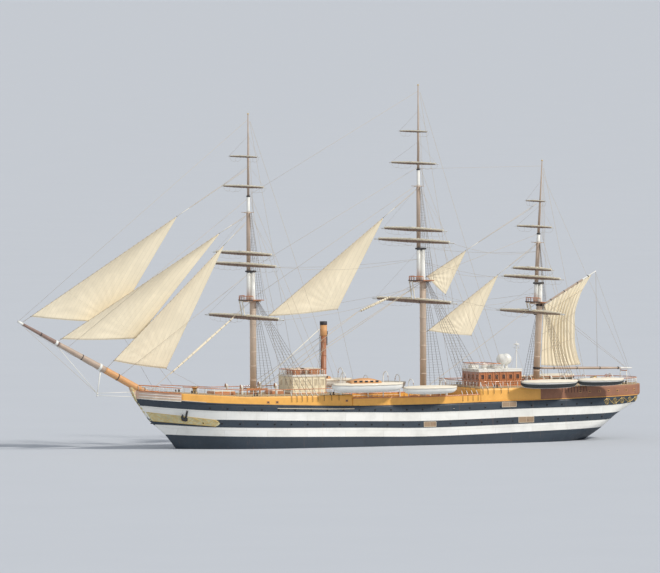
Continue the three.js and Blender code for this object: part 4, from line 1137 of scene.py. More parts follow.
def build_houses():
    """Joinery of the deckhouses, in blocks: windows at even distances with a panel below each, posts
    between them, a plinth round the foot and the roof's edge."""
    for name, h in HOUSES.items():
        wall, trim, pane = ("cream", "pale", "shutter") if name == "fore" else ("varnish", "rail", "glass")
        repaint(f"{name}_house", wall)
        repaint(f"{name}_house_roof", "white")
        low = h.floor + 0.0003
        tall = h.top - low
        middle, high = low + (WINDOW.sill + WINDOW.head) / 2 * tall, (WINDOW.head - WINDOW.sill) * tall
        opening = (WINDOW.wide - 0.005, high - 0.005, 0.016, trim, pane)
        panel_z, foot_z = low + 0.28 * tall, low + 0.012
        centre, length = (h.aft + h.front) / 2, h.front - h.aft
        along, across = h.windows
        xs = h.aft + (np.arange(along) + 0.5) / along * length
        ys = ((np.arange(across) + 0.5) / across * 2 - 1) * h.half
        shape = Shape()
        for side, end in ((1, h.front), (-1, h.aft)):
            y = side * (h.half - HOUSE_WALL / 2)
            windows(shape, spots(xs, y, middle), False, *opening)
            windows(shape, spots(end - side * HOUSE_WALL / 2, ys, middle), True, *opening)
            shape.blocks(spots(xs, side * (h.half + 0.001), panel_z), (0.07, 0.008, 0.4 * tall), wall, 0.003)
            posts = np.append((xs[1:] + xs[:-1]) / 2, [h.aft, h.front])
            shape.blocks(spots(posts, side * (h.half + 0.002), low + tall / 2), (0.012, 0.012, tall), trim,
                         0.002)
            shape.blocks((centre, side * (h.half + 0.004), foot_z), (length + 0.02, 0.014, 0.024), "rail",
                         0.003)
            shape.blocks((end + side * 0.004, 0, foot_z), (0.014, 2 * h.half + 0.02, 0.024), "rail", 0.003)
            shape.blocks(spots(end + side * 0.001, ys, panel_z), (0.008, 0.07, 0.4 * tall), wall, 0.003)
        size = (length + 2 * HOUSE_EAVE + 0.006, 2 * (h.half + HOUSE_EAVE) + 0.006, 0.014)
        shape.blocks((centre, 0, h.roof - 0.003), size, "white", 0.004)
        piece(f"{name}_house_joinery", shape)


def rounds(aft, front, half, z, count, corner=True):
    """Points round a rectangle, count of them along each edge, with or without the corner that ends it."""
    corners = np.array([(front, -half), (front, half), (aft, half), (aft, -half)])
    loop = np.concatenate([np.linspace(a, b, count, corner)
                           for a, b in zip(corners, np.roll(corners, -1, 0))])
    return spots(loop[:, 0], loop[:, 1], z)


def build_roof_gear():
    """On the roofs: domes as turned circles, lockers as blocks, turned ventilators, and rails round the
    edges. The aerial mast is a turned pole with a crossarm and stays."""
    shape = Shape()
    for x, y, radius, z in DOMES:
        at, skin = (x, y, 0), radius * 1.004
        angle = np.linspace(-1.25, np.pi / 2, 18)
        shape.turned(np.column_stack([skin * np.cos(angle), z + skin * np.sin(angle)]), "white", 32, at)
        shape.turned([(0.03, 1.09), (0.024, 1.11), (0.021, z - radius * 0.9),
                      (radius * 0.42, z - radius * 0.86)],
                     "white", 20, at)
        shape.turned(hoop(skin, radius * 1.012, z, 0.002, 0.001), "white", 32, at, caps=False)
    h = HOUSES["bridge"]
    railing(shape, rounds(h.aft + 0.33, h.front, h.half, h.roof, 19, False), 0.085, 0.09)
    shape.blocks([(-1.85, -0.16, 1.13), (-1.6, -0.12, 1.125), (-1.85, 0.2, 1.12)],
                 [(0.16, 0.1, 0.07), (0.12, 0.12, 0.06), (0.1, 0.07, 0.05)], "white", 0.006)
    piece("bridge_roof_gear", shape)

    shape = Shape()
    f = HOUSES["fore"]
    aft, front = f.aft + 0.14, f.front - 0.13
    for x, y, z, size in ((aft, 0.1, 0.045, (0.16, 0.13, 0.09)), (aft, -0.1, 0.045, (0.16, 0.13, 0.09)),
                          (front, 0, 0.04, (0.14, 0.3, 0.08))):
        shape.blocks((x, y, f.roof + z), size, "varnish", 0.008)
        shape.blocks((x, y, f.roof + z + size[2] / 2 + 0.003), (size[0] + 0.02, size[1] + 0.02, 0.008),
                     "cover", 0.003)
    vent = [(0.022, 0), (0.022, 0.06), (0.05, 0.075), (0.05, 0.085), (0.03, 0.1), (0.0, 0.104)]
    for x, y in ((1.3, 0.17), (1.3, -0.17), (1.2, 0.0), (1.42, 0.1), (1.42, -0.1)):
        shape.turned(vent, "buff", 18, (x, y, f.roof - 0.002))
    railing(shape, rounds(f.aft, f.front, f.half, f.roof, 16), 0.08, 0.09)
    piece("fore_roof_gear", shape)

    shape = Shape()
    a = AERIAL
    shape.turned([(0.021, 0.83), (0.021, 0.842), (0.01, 0.85), (a.radius, 0.88), (a.radius * 0.6, a.top)],
                 "white", 14, (a.x, 0, 0))
    shape.rods((a.x, -a.arm, a.arm_height), (a.x, a.arm, a.arm_height), a.radius * 0.6, "white", 8)
    whips = spots(a.x, [-a.arm, 0.06, a.arm], a.arm_height)
    shape.rods(whips, whips + [0, 0, 0.07], 0.0025, "white", 6)
    shape.turned([(0.0, -0.006), (0.03, -0.004), (0.034, 0.012), (0.02, 0.02), (0.0, 0.022)], "white", 20,
                 (a.x, 0, 1.45))
    shape.rods((a.x, 0, 1.38), spots(a.x + np.array([-0.2, 0.1, 0.1]), [0, 0.17, -0.17], 0.84), 0.0014,
               "wire", 4)
    piece("aerial", shape, replaces=("aerial_mast",))


def build_funnel():
    """A tall, thin pole funnel: its profile turned about the upright, with bands, ladder, siren and guys."""
    f = FUNNEL
    shape = Shape()
    foot, axis = FORECASTLE.top, (f.x, 0, 0)
    shape.turned([(f.radius + 0.012, foot), (f.radius + 0.012, foot + 0.014),
                  (f.radius + 0.004, foot + 0.024),
                  (f.radius, foot + 0.04), (f.radius, f.cap_low)], "funnel", 36, axis)
    shape.turned([(f.radius, f.cap_low - 0.002), (f.cap, f.cap_low + 0.015), (f.cap, f.top - 0.055)], "tan",
                 36, axis)
    rim = [(f.cap, f.top - 0.055), (f.cap + 0.002, f.top - 0.05), (f.cap + 0.002, f.top - 0.002),
           (f.cap - 0.002, f.top), (f.cap - 0.008, f.top - 0.002), (f.cap - 0.008, f.top - 0.05)]
    shape.turned(rim, "iron", 36, axis)
    for z in (0.95, 1.15, 1.35, 1.55):
        shape.turned(hoop(f.radius, f.radius + 0.003, z, 0.006, 0.002), "funnel", 36, axis, caps=False)
    siren = [(0.007, 0), (0.007, 0.16), (0.013, 0.165), (0.013, 0.21), (0.004, 0.215)]
    shape.turned(siren, "iron", 14, (f.x - f.radius - 0.014, 0, 1.5))
    ladder, rungs = np.array([-0.018, 0.018]), np.arange(0.84, 1.66, 0.035)
    shape.rods(spots(f.x + 0.05, ladder, 0.8), spots(f.x + 0.062, ladder, 1.66), 0.002, "iron")
    left, right = (spots(f.x + 0.05 + (rungs - 0.8) * 0.014, y, rungs) for y in ladder)
    shape.rods(left, right, 0.0014, "iron", 4)
    for side in SIDES:
        shape.rods((f.x, side * 0.042, 1.6), [(f.x - 0.1, side * 0.6, 0.79), (f.x + 0.45, side * 0.62, 0.79)],
                   0.0018, "wire", 4)
    shape.rods((f.x + f.cap - 0.003, 0, 1.757), (2.07, 0, 0.87), 0.006, "bolt_rope", 8)
    piece("funnel_pole", shape, replaces=("funnel",))


# Boats


def boat_lines(aft, fore, keel, gunwale, half, count=31):
    """Half-breadth, keel height and rim height along a boat: fine at both ends, with a rising sheer."""
    t = np.linspace(0, 1, count)
    at = [0, 0.07, 0.25, 0.5, 0.75, 0.93, 1]
    breadth = half * fair(at, [0.08, 0.5, 0.88, 1, 0.88, 0.5, 0.08], t)
    rise = fair(at, [0.6, 0.22, 0.05, 0, 0.05, 0.22, 0.6], t) * (gunwale - keel)
    return aft + t * (fore - aft), breadth, keel + rise, gunwale + 0.12 * rise


def add_boat(shape, y, side, x, breadth, low, rim, bottom="white"):
    """A clinker boat: across each section the side is a quarter turn of a full ellipse from keel to rim."""
    turn = np.linspace(-np.pi / 2, np.pi / 2, 25)
    out = np.sign(turn) * np.abs(np.sin(turn)) ** 0.85
    drop = np.cos(turn) ** 0.8
    lap = 0.0016 * np.abs(((np.abs(turn) / (np.pi / 2) * 6) % 1) - 0.5)
    points = spots(x[:, None], side * (y + (breadth[:, None] + lap) * out),
                   rim[:, None] - (rim - low)[:, None] * drop)
    # Below the turn the hull takes the bottom finish, which for the after boats is painted shade.
    below = np.append(np.abs(turn[1:] + turn[:-1]) / 2 < 1.3, False)
    shape.surface(points, np.where(below, bottom, "white"), wrap=True, caps=True)
    for edge in (-1, 1):
        shape.tube(spots(x, side * (y + edge * (breadth + 0.002)), rim), 0.0045, "rail", 6)
    shape.tube(spots(x, side * y, low - 0.001)[1:-1], 0.004, "white", 6)


def cover_grid(y, side, x, breadth, rim, crown):
    """A cover drawn tight over a ridge: its height falls from the ridge to the gunwale and then hangs
    down."""
    w = np.linspace(-1, 1, 25)
    gunwale, hanging = 0.86, 0.14
    near = np.clip(np.abs(w) / gunwale, 0, 1)
    over = np.clip((np.abs(w) - gunwale) / hanging, 0, 1)
    t = np.linspace(0, 1, len(x))[:, None]
    ridge = (crown * np.sin(np.pi * np.clip(t, 0.02, 0.98)) ** 0.45
             * (1 - 0.07 * np.abs(np.sin(np.pi * 6 * t))))
    ys = y + np.sign(w) * (breadth[:, None] + 0.007) * near
    zs = rim[:, None] + 0.006 + ridge * (1 - near**1.5) - 0.02 * over + 0.002 * over * np.sin(38 * t)
    return spots(x[:, None], side * ys, zs)


def davit_path(x, y, top):
    """Up a post at the deck edge, then over in part of a circle to above the boat."""
    foot, post = float(deck_at(x)), float(edge_at(x)) - 0.03
    end = math.radians(20)
    reach = (y - 0.02 - post) / (1 + math.cos(end))
    spring = top - reach - 0.008
    turn = np.linspace(np.pi, end, 18)
    bend = spots(x, post + reach + reach * np.cos(turn), spring + reach * np.sin(turn))
    return np.concatenate([spots(x, post, np.linspace(foot, spring, 6)[:-1]), bend])


def build_boats():
    """Each boat rests between two davits: tubes that thin towards their tips, with falls of rope and
    blocks. A griping spar joins the davits of each pair of boats."""
    hanging = np.array([[-0.004, 0, 0], [0.004, 0, 0], [0, 0.004, 0]])
    for name, side in PORT_AND_STARBOARD:
        for pair in ("forward", "after"):
            shape, covers, posts = Shape(), [], []
            for row in BOATS:
                if row[0] != pair:
                    continue
                aft, fore, y, keel, gunwale, half, crown, top = (v * MM for v in row[1:])
                x, breadth, low, rim = boat_lines(aft, fore, keel, gunwale, half)
                # The after boats' lower hulls take the shade finish: a near-black painted shade for their
                # undersides.
                add_boat(shape, y, side, x, breadth, low, rim, "shade" if pair == "after" else "white")
                cabin = crown > 0.05
                covers.append(cover_grid(y, side, x, breadth, rim, 0.03 if cabin else crown))
                if cabin:
                    add_cabin(shape, y, side, x, breadth, rim, crown)
                for part in DAVITS_AT:
                    at = aft + part * (fore - aft)
                    path = davit_path(at, y, top)
                    taper = np.interp(np.arange(len(path)), [0, 4, len(path) - 1], [0.0085, 0.008, 0.005])
                    shape.tube(mirrored(path, side), taper, "white", 8)
                    tip, hook = path[-1], np.array([at, y, gunwale + 0.012])
                    shape.rods(mirrored(tip + hanging, side), mirrored(hook + hanging, side), 0.0012, "rope",
                               4)
                    shape.blocks(mirrored([tip - [0, 0, 0.012], hook + [0, 0, 0.01]], side),
                                 (0.01, 0.012, 0.02), "varnish", 0.003)
                    shape.turned([(0.014, 0), (0.014, 0.03), (0.009, 0.04)], "white", 14,
                                 mirrored(path[0], side))
                    posts.append(path[0] + [0, 0, 0.09])
            shape.chain(mirrored(sorted(posts, key=lambda p: p[0]), side), 0.005, "buff", 8)
            made = piece(f"{name}_{pair}_boat_set", shape, replaces=(f"{name}_{pair}_boats",))
            for number, points in enumerate(covers):
                add_cover(f"{name}_{pair}_cover_{number}", points)


def add_cabin(shape, y, side, x, breadth, rim, crown):
    """A closed launch cabin amidships: an arched section carried along the boat, with windows on each
    side."""
    chosen = (x > x[0] + 0.3 * (x[-1] - x[0])) & (x < x[0] + 0.8 * (x[-1] - x[0]))
    xs, b, z = x[chosen], breadth[chosen] * 0.72, rim[chosen]
    t = np.linspace(0, 1, len(xs))
    rise = crown * np.sin(np.pi * np.clip(t, 0.06, 0.94)) ** 0.3
    arch = ((-1, 0), (-0.96, 0.75), (-0.7, 0.95), (0, 1.02), (0.7, 0.95), (0.96, 0.75), (1, 0))
    points = np.stack([spots(xs, side * (y + b * w), z - 0.01 + (rise + 0.01) * h) for w, h in arch], 1)
    shape.surface(points, "tan", wrap=True, caps=True)
    at = np.linspace(xs[2], xs[-3], 5)
    for edge in (-1, 1):
        out = y + edge * np.interp(at, xs, b) * 0.985
        shape.blocks(spots(at, side * out, np.interp(at, xs, z) + crown * 0.5), (0.05, 0.006, crown * 0.28),
                     "glass", 0.002)


def add_cover(name, points):
    """A boat's cover: a grid of points given the thickness of canvas, which rests on the boat."""
    shape = Shape()
    shape.surface(points, "cover")
    made = piece(name, shape, flip=False)
    thicken(made, COVER_THICK)


def thicken(made, thickness):
    """Gives a cloth its thickness, half of it to each side."""
    solid = made.modifiers.new("cloth", "SOLIDIFY")
    solid.thickness = thickness
    solid.offset = 0


# Masts and yards


def on_mast(mast, x, y, z):
    """rake_frame() for points given by their x, y and height along the mast."""
    return rake_frame(mast, spots(x, y, z))


def build_masts():
    """Each mast is three poles, profiles turned about the mast's own line, with the top as a flat plate
    round a half ellipse, trestle trees and caps as blocks, and hoops round the lower mast."""
    for name, mast in MASTS.items():
        def pole(profile, offset, finish, sides=28, caps=True):
            """A profile of (radius, height above the water) turned about a line beside the mast's axis."""
            rings = lathe([(r, up(mast, z)) for r, z in profile], sides, (offset, 0, 0))
            shape.surface(rake_frame(mast, rings), finish, True, caps)

        def block(x, y, z, size, finish="buff", chamfer=0.002):
            """A block at a place in the mast's own frame."""
            shape.blocks(on_mast(mast, x, y, z), size, finish, chamfer)

        foot, top, cap, trees, upper = mast.deck, mast.top, mast.lower_cap, mast.trees, mast.upper_cap
        aft, fore = -MAST_OFFSET, MAST_OFFSET
        shape = Shape()
        pole([(LOWER_RADIUS, foot - 0.004), (LOWER_RADIUS, top - 0.06), (LOWER_RADIUS - 0.003, top)], aft,
             "buff")
        pole([(LOWER_RADIUS + 0.014, foot), (LOWER_RADIUS + 0.014, foot + 0.02),
              (LOWER_RADIUS + 0.002, foot + 0.036)],
             aft, "rail")
        pole([(HEAD_RADIUS + 0.008, top - 0.002), (HEAD_RADIUS, top + 0.02), (HEAD_RADIUS, cap)], aft,
             "white")
        for z in np.arange(foot + 0.22, top - 0.1, 0.21):
            pole(hoop(LOWER_RADIUS - 0.001, LOWER_RADIUS + 0.003, z, 0.008, 0.001), aft, "buff", 24, False)
        turn = np.linspace(-np.pi / 2, np.pi / 2, 19)
        back = aft - mast.top_aft
        x = np.concatenate([[back], fore + TOP.front * np.cos(turn), [back]])
        y = np.concatenate([[-TOP.half], TOP.half * np.sin(turn), [TOP.half]])
        z = up(mast, top)
        drop, shrink = np.array([[-0.006, -0.004, 0.004, 0.006], [0.985, 1, 1, 0.985]])[..., None]
        shape.surface(on_mast(mast, x * shrink, y * shrink, z + drop), "varnish", True, True, smooth=False)
        x, y = x[1:-1], y[1:-1]
        shape.tube(on_mast(mast, x, y, z), 0.006, "iron", 6)
        railing(shape, on_mast(mast, x * 0.95, y * 0.95, z + 0.006), 0.055, 0.05, "funnel", 2)
        back += 0.005
        for y in (-0.03, 0.03):
            block((back + 0.12) / 2, y, z - 0.018, (0.12 - back, 0.014, 0.024), chamfer=0.003)
        for x in (max(-0.09, back + 0.01), 0.1):
            block(x, 0, z - 0.016, (0.018, 0.3, 0.018), chamfer=0.003)
        length = 2 * MAST_OFFSET + HEAD_RADIUS + TOPMAST_RADIUS + 0.018
        block((TOPMAST_RADIUS - HEAD_RADIUS) / 2, 0, up(mast, cap) - CAP_THICK / 2,
              (length, 2 * (HEAD_RADIUS + 0.008), CAP_THICK), "iron", 0.005)
        yard = up(mast, YARDS[name][0][0] * MM)
        reach = TRUSS.height / 2 + TRUSS.lug
        low, high = on_mast(mast, fore, 0, yard + np.array([-reach, reach]))
        shape.rods(low, high, TRUSS.pin, "iron", 12)
        for end in (-1, 1):
            block(0.008, 0, yard + end * (TRUSS.height + TRUSS.lug) / 2,
                  (2 * MAST_OFFSET + 0.012, 0.03, TRUSS.lug), "iron", 0.003)
        piece(f"{name}_lower_mast_pole", shape, replaces=(f"{name}_lower_mast",))

        shape = Shape()
        wide, thin = TOPMAST_RADIUS, TOPMAST_RADIUS * 0.8
        pole([(wide, top + 0.0065), (wide, cap)], fore, "white")
        pole([(wide, cap), (wide * 0.97, trees)], fore, "pole")
        pole([(wide * 0.97, trees), (thin, trees + 0.03), (thin, upper)], fore, "white")
        pole([(thin, upper - 0.02), (wide, upper - 0.016), (wide, upper - 0.002), (thin, upper)], fore,
             "iron")
        z = up(mast, trees)
        for x in (-0.036, 0.055):
            block(fore + x, 0, z, (0.012, 2 * TREES_HALF, 0.009))
        for y in (-0.024, 0.024):
            block(fore + 0.01, y, z - 0.002, (0.1, 0.01, 0.014))
        piece(f"{name}_topmast_pole", shape, replaces=(f"{name}_topmast",))

        shape = Shape()
        radius, truck = TOPGALLANT_RADIUS, mast.truck
        pole([(radius, upper + 0.0005), (radius * 0.92, trees + 0.8 * (truck - trees) - 0.4),
              (radius * 0.7, YARDS[name][4][0] * MM + 0.03), (TRUCK_RADIUS, truck - 0.016)], fore, "pole", 20)
        pole([(TRUCK_RADIUS, truck - 0.017), (0.014, truck - 0.013), (0.014, truck - 0.004), (0.009, truck)],
             fore, "gilding", 20)
        piece(f"{name}_topgallant_pole", shape, replaces=(f"{name}_topgallant_mast",))


def yard_frame(mast, height):
    """Function that puts points measured from the middle of a yard into the ship's frame."""
    z = up(mast, height)
    return lambda points: rake_frame(mast, np.asarray(points, float) + [MAST_OFFSET + YARD_AHEAD, 0, z])


def taper_at(y, half, radius):
    """Radius of a yard at a distance from its middle."""
    return radius * np.interp(y / half / 2 + 0.5, YARD_TAPER[:, 0], YARD_TAPER[:, 1])


def build_yards():
    """A yard is its taper turned about its own length. The furled sail on it is a roll whose radius dips at
    each gasket and wanders a little along its length."""
    for name, mast in MASTS.items():
        body = f"{name}_yards"
        for row, measures in enumerate(YARDS[name]):
            height, length, radius = (v * MM for v in measures)
            yard, place, half = f"{name}_{YARD_NAMES[row]}", yard_frame(mast, height), length / 2
            shape = Shape()
            t = np.array([0, 0.001, 0.06, 0.0605, 0.12, 0.25, 0.4, 0.6, 0.75, 0.88, 0.9395, 0.94, 0.999, 1])
            r = radius * fair(YARD_TAPER[:, 0], YARD_TAPER[:, 1], t)
            r[[0, -1]] *= 0.7
            # The yard finish is partly painted shade: a dark brown for the shade under the furled sail.
            finish = np.where((t[1:] <= 0.06) | (t[:-1] >= 0.94), "white", "yard")[:, None]
            shape.surface(place(lathe(np.column_stack([r, (t - 0.5) * length]), 20, axis=1)), finish, True,
                          True)
            for y in YARD_HOOPS_AT * length:
                outer = taper_at(y, half, radius) + 0.0015
                shape.surface(place(lathe(hoop(outer - 0.002, outer, y, 0.006, 0.001), 20, axis=1)), "iron",
                              True)
            pole = (TRUSS.pin, TOPMAST_RADIUS, TOPMAST_RADIUS, TOPGALLANT_RADIUS, TOPGALLANT_RADIUS)[row]
            ring = collar(pole + RING_PLAY, 0.007, 0.018 if row else TRUSS.height - 0.002)
            shape.surface(place(lathe(ring, 24, (-YARD_AHEAD, 0, 0))), "iron", True, smooth=False)
            start = pole + 0.004 - YARD_AHEAD
            shape.blocks(place([((start - 0.004) / 2, 0, 0)]), (abs(start) + 0.004, 0.018, 0.014), "iron",
                         0.002)
            y = np.linspace(-0.92, 0.92, 29) * half
            shape.chain(place(spots(0, y, taper_at(y, half, radius) + 0.004)), 0.0012, "iron")
            add_footropes(shape, place, half, radius)
            add_lifts(shape, mast, row, place, half, radius, height)
            piece(f"{yard}_spar", shape, body, (yard,))
            add_furled_sail(f"{yard}_furled", place, half, radius, row, body)


def add_footropes(shape, place, half, radius):
    """Footropes hang in shallow curves between stirrups under each side of the yard."""
    ends = np.linspace(0.1, LIFT_AT * half, max(3, int(half / STIRRUP_STEP) + 1))
    y = np.linspace(ends[0], ends[-1], 8 * (len(ends) - 1) + 1)
    sag = 0.012 * np.abs(np.sin(np.pi * (y - ends[0]) / (ends[1] - ends[0])))
    drop = radius + 0.055 * np.sin(np.pi * np.clip((y - ends[0]) / (ends[-1] - ends[0]), 0, 1)) ** 0.35
    for side in (-1, 1):
        shape.chain(place(spots(-radius * 0.9, side * y, -drop - sag)), 0.0012, "rope")
        stirrups = spots(-radius * 0.9, side * ends, -np.interp(ends, y, drop))[1:-1]
        shape.rods(place(stirrups * [1, 1, 0]), place(stirrups), 0.001, "rope", 4)


def add_lifts(shape, mast, row, place, half, radius, height):
    """Lifts run from the yardarms to the mast above, next to the axis that the yard turns about."""
    above = (mast.lower_cap - 0.055, None, mast.trees - 0.02, height + 0.32,
             min(height + 0.3, mast.truck - 0.05))[row]
    if above is None:
        return
    for side in (-1, 1):
        out = TOPMAST_RADIUS if row < 3 else 0.02
        high = place((-YARD_AHEAD, side * out, (above - height) / math.cos(mast.rake)))
        shape.rods(place((0, side * LIFT_AT * half, radius * 0.5)), high, 0.0013, "wire", 4)


def add_furled_sail(name, place, half, radius, row, body):
    """A furled sail lies on the front of its yard: rings of a slightly creased ellipse along the yard,
    whose size falls towards the ends and dips at each gasket. A gasket is an ellipse of line round sail and
    yard."""
    reach = (0.88, 0.9, 0.9, 0.9, 0.86)[row] * half
    roll = (0.019, 0.018, 0.018, 0.013, 0.01)[row] if half > 0.6 else 0.009
    y = np.linspace(-reach, reach, 181)
    gaskets = np.linspace(-reach * 0.97, reach * 0.97, max(9, int(2 * reach / GASKET_STEP)) | 1)
    near = np.abs(y[:, None] - gaskets).min(1)
    size = roll * (1 - 0.3 * (np.abs(y) / reach) ** 1.5) * (1 - 0.3 * np.exp(-((near / 0.012) ** 2)))
    size *= 1 + 0.06 * np.sin(41 * y + row) + 0.05 * np.sin(97 * y + 2 * row)
    size[[0, -1]] *= 0.3
    if row == 0:
        size *= 1 - 0.75 * np.exp(-((y / 0.09) ** 4))
    yard = taper_at(y, half, radius)
    size_at, yard_at = (np.interp(gaskets, y, v)[:, None] for v in (size, yard))
    y, size, yard = y[:, None], size[:, None], yard[:, None]
    turn = np.arange(14) * 2 * np.pi / 14
    crease = 1 + 0.07 * np.sin(3 * turn + 23 * y) + 0.05 * np.sin(5 * turn - 31 * y)
    points = spots(0.35 * yard + 1.05 * size * crease * np.cos(turn), y,
                   0.82 * yard + 0.66 * size + 0.9 * size * crease * np.sin(turn))
    shape = Shape()
    # The furled finish is lighter than the sail canvas: a painted highlight for sunlight on the roll.
    shape.surface(place(points), "furled", True, True, uv=np.stack(np.broadcast_arrays(y, turn * roll), -1))
    turn = np.arange(16) * 2 * np.pi / 16
    low, high = -yard_at - 0.002, yard_at * 0.82 + 1.6 * size_at + 0.002
    wide = np.maximum(yard_at, size_at * 1.05) + 0.003
    ring = place(spots(0.2 * yard_at + wide * np.cos(turn), gaskets[:, None],
                       (high + low) / 2 + (high - low) / 2 * np.sin(turn)))
    shape.rods(ring.reshape(-1, 3), np.roll(ring, -1, 1).reshape(-1, 3), 0.0014, "rope", 4)
    piece(name, shape, body)


# Sails


def sail_grid(tack, throat, peak, clew, belly, roach=0.012, columns=49, rows=65):
    """A sail between four corners. Its edges are straight but for the foot, and from them it bellies as a
    sine across and a sine up, with wrinkles that spread from the clew and tack."""
    out, high = np.meshgrid(np.linspace(0, 1, columns), np.linspace(0, 1, rows))
    tack, throat, peak = (np.array([c[0], 0, c[1]]) for c in (tack, throat, peak))
    clew = np.array([clew[0], clew[2], clew[1]])
    o, h = out[..., None], high[..., None]
    points = (1 - o) * ((1 - h) * tack + h * throat) + o * ((1 - h) * clew + h * peak)
    points[..., 2] -= roach * np.sin(np.pi * out) * (1 - high) ** 3 * np.linalg.norm(clew - tack)
    points[..., 1] -= belly * np.sin(np.pi * out) * np.sin(np.pi * np.minimum(1, high * 0.9 + 0.1))
    for corner, strength in ((clew, 0.006), (tack, 0.004), (peak, 0.002)):
        away = points - corner
        span = np.linalg.norm(away, axis=-1)
        ray = np.sin(26 * np.arctan2(away[..., 2], away[..., 0]))
        fade = np.exp(-span / 0.5) * np.minimum(1, span / 0.1) * np.sin(np.pi * out) ** 0.5
        points[..., 1] += strength * ray * fade
    return points


def sail_uv(points):
    """Sail cloths run parallel to the leech: u is the distance along the leech and v the distance from it."""
    leech = unit(points[-1, -1] - points[0, -1])
    flat = points - points[0, -1]
    along = flat @ leech
    away = np.linalg.norm(flat - along[..., None] * leech, axis=-1)
    return np.stack([along, away], -1)


def border(points):
    """The four edges of a grid of points, one after the other."""
    return np.concatenate([points[:, 0], points[-1, 1:], points[-2::-1, -1], points[0, -2::-1]])


def build_sails():
    """Each headsail or staysail is a grid between tack, head and clew, with a rope along its edges and iron
    rings in its corners. Hanks hold its luff to the stay, and a halyard and a sheet lead from its head and
    clew."""
    line = sizes().line_radius
    for name, low, high, tack, head, clew, belly in STAYSAILS:
        low, high, tack, head, clew = (np.array(v) * MM for v in (low, high, tack, head, clew))
        toward = unit(clew[:2] - head) * 0.014
        points = sail_grid(tack, head, head + toward + [-0.006, 0], clew, belly * MM)
        stay = Shape()
        start, end = np.array([low[0], 0, low[1]]), np.array([high[0], 0, high[1]])
        stay.rods(start, end, 0.003, "wire", 8)
        luff = points[:, 0]
        step = max(2, len(luff) // max(8, int(np.linalg.norm(luff[-1] - luff[0]) / HANK_STEP)))
        hanks = luff[1:-1:step]
        along = unit(end - start)
        on_stay = start + ((hanks - start) @ along)[:, None] * along
        stay.rods(on_stay - along * 0.004, on_stay + along * 0.004, 0.0055, "bronze", 8)
        stay.rods(hanks, on_stay + [0, 0, 1e-4], 0.0018, "bronze", 5)
        clew_ring, top = points[0, -1], points[-1, 0]
        aft, out, lift = (0.5, -0.55, 0.1) if name.startswith("m") else (0.75, -0.6, 0.09)
        x = clew_ring[0] - aft
        stay.rods(clew_ring, (x, out, deck_at(x) + lift), line, "rope")
        stay.rods(top, top + along * 0.24, 0.0042, "bolt_rope", 6)
        stay.rods(top, end - along * 0.08 + [0, 0, -0.02], line, "rope")
        stay_piece = piece(f"{name}_stay", stay)

        rope = Shape()
        rope.chain(border(points), BOLT_ROPE_RADIUS, "bolt_rope", 5)
        turn = np.linspace(0, 2 * np.pi, 13)
        for corner in (clew_ring, points[0, 0], top):
            rope.chain(corner + spots(0.007 * np.cos(turn), 0, 0.007 * np.sin(turn)), 0.0018, "iron", 5)
        rope_piece = piece(f"{name}_bolt_rope", rope)

        shape = Shape()
        shape.surface(points, "canvas", uv=sail_uv(points))
        sail = piece(f"{name}_cloth", shape, replaces=(name,), flip=False)
        thicken(sail, SAIL_THICK)


SPANKER_LEECH = np.array([[1130, -3340], [1255, -3290], [1520, -3240], [1850, -3240], [2175, -3330],
                          [2500, -3530]])


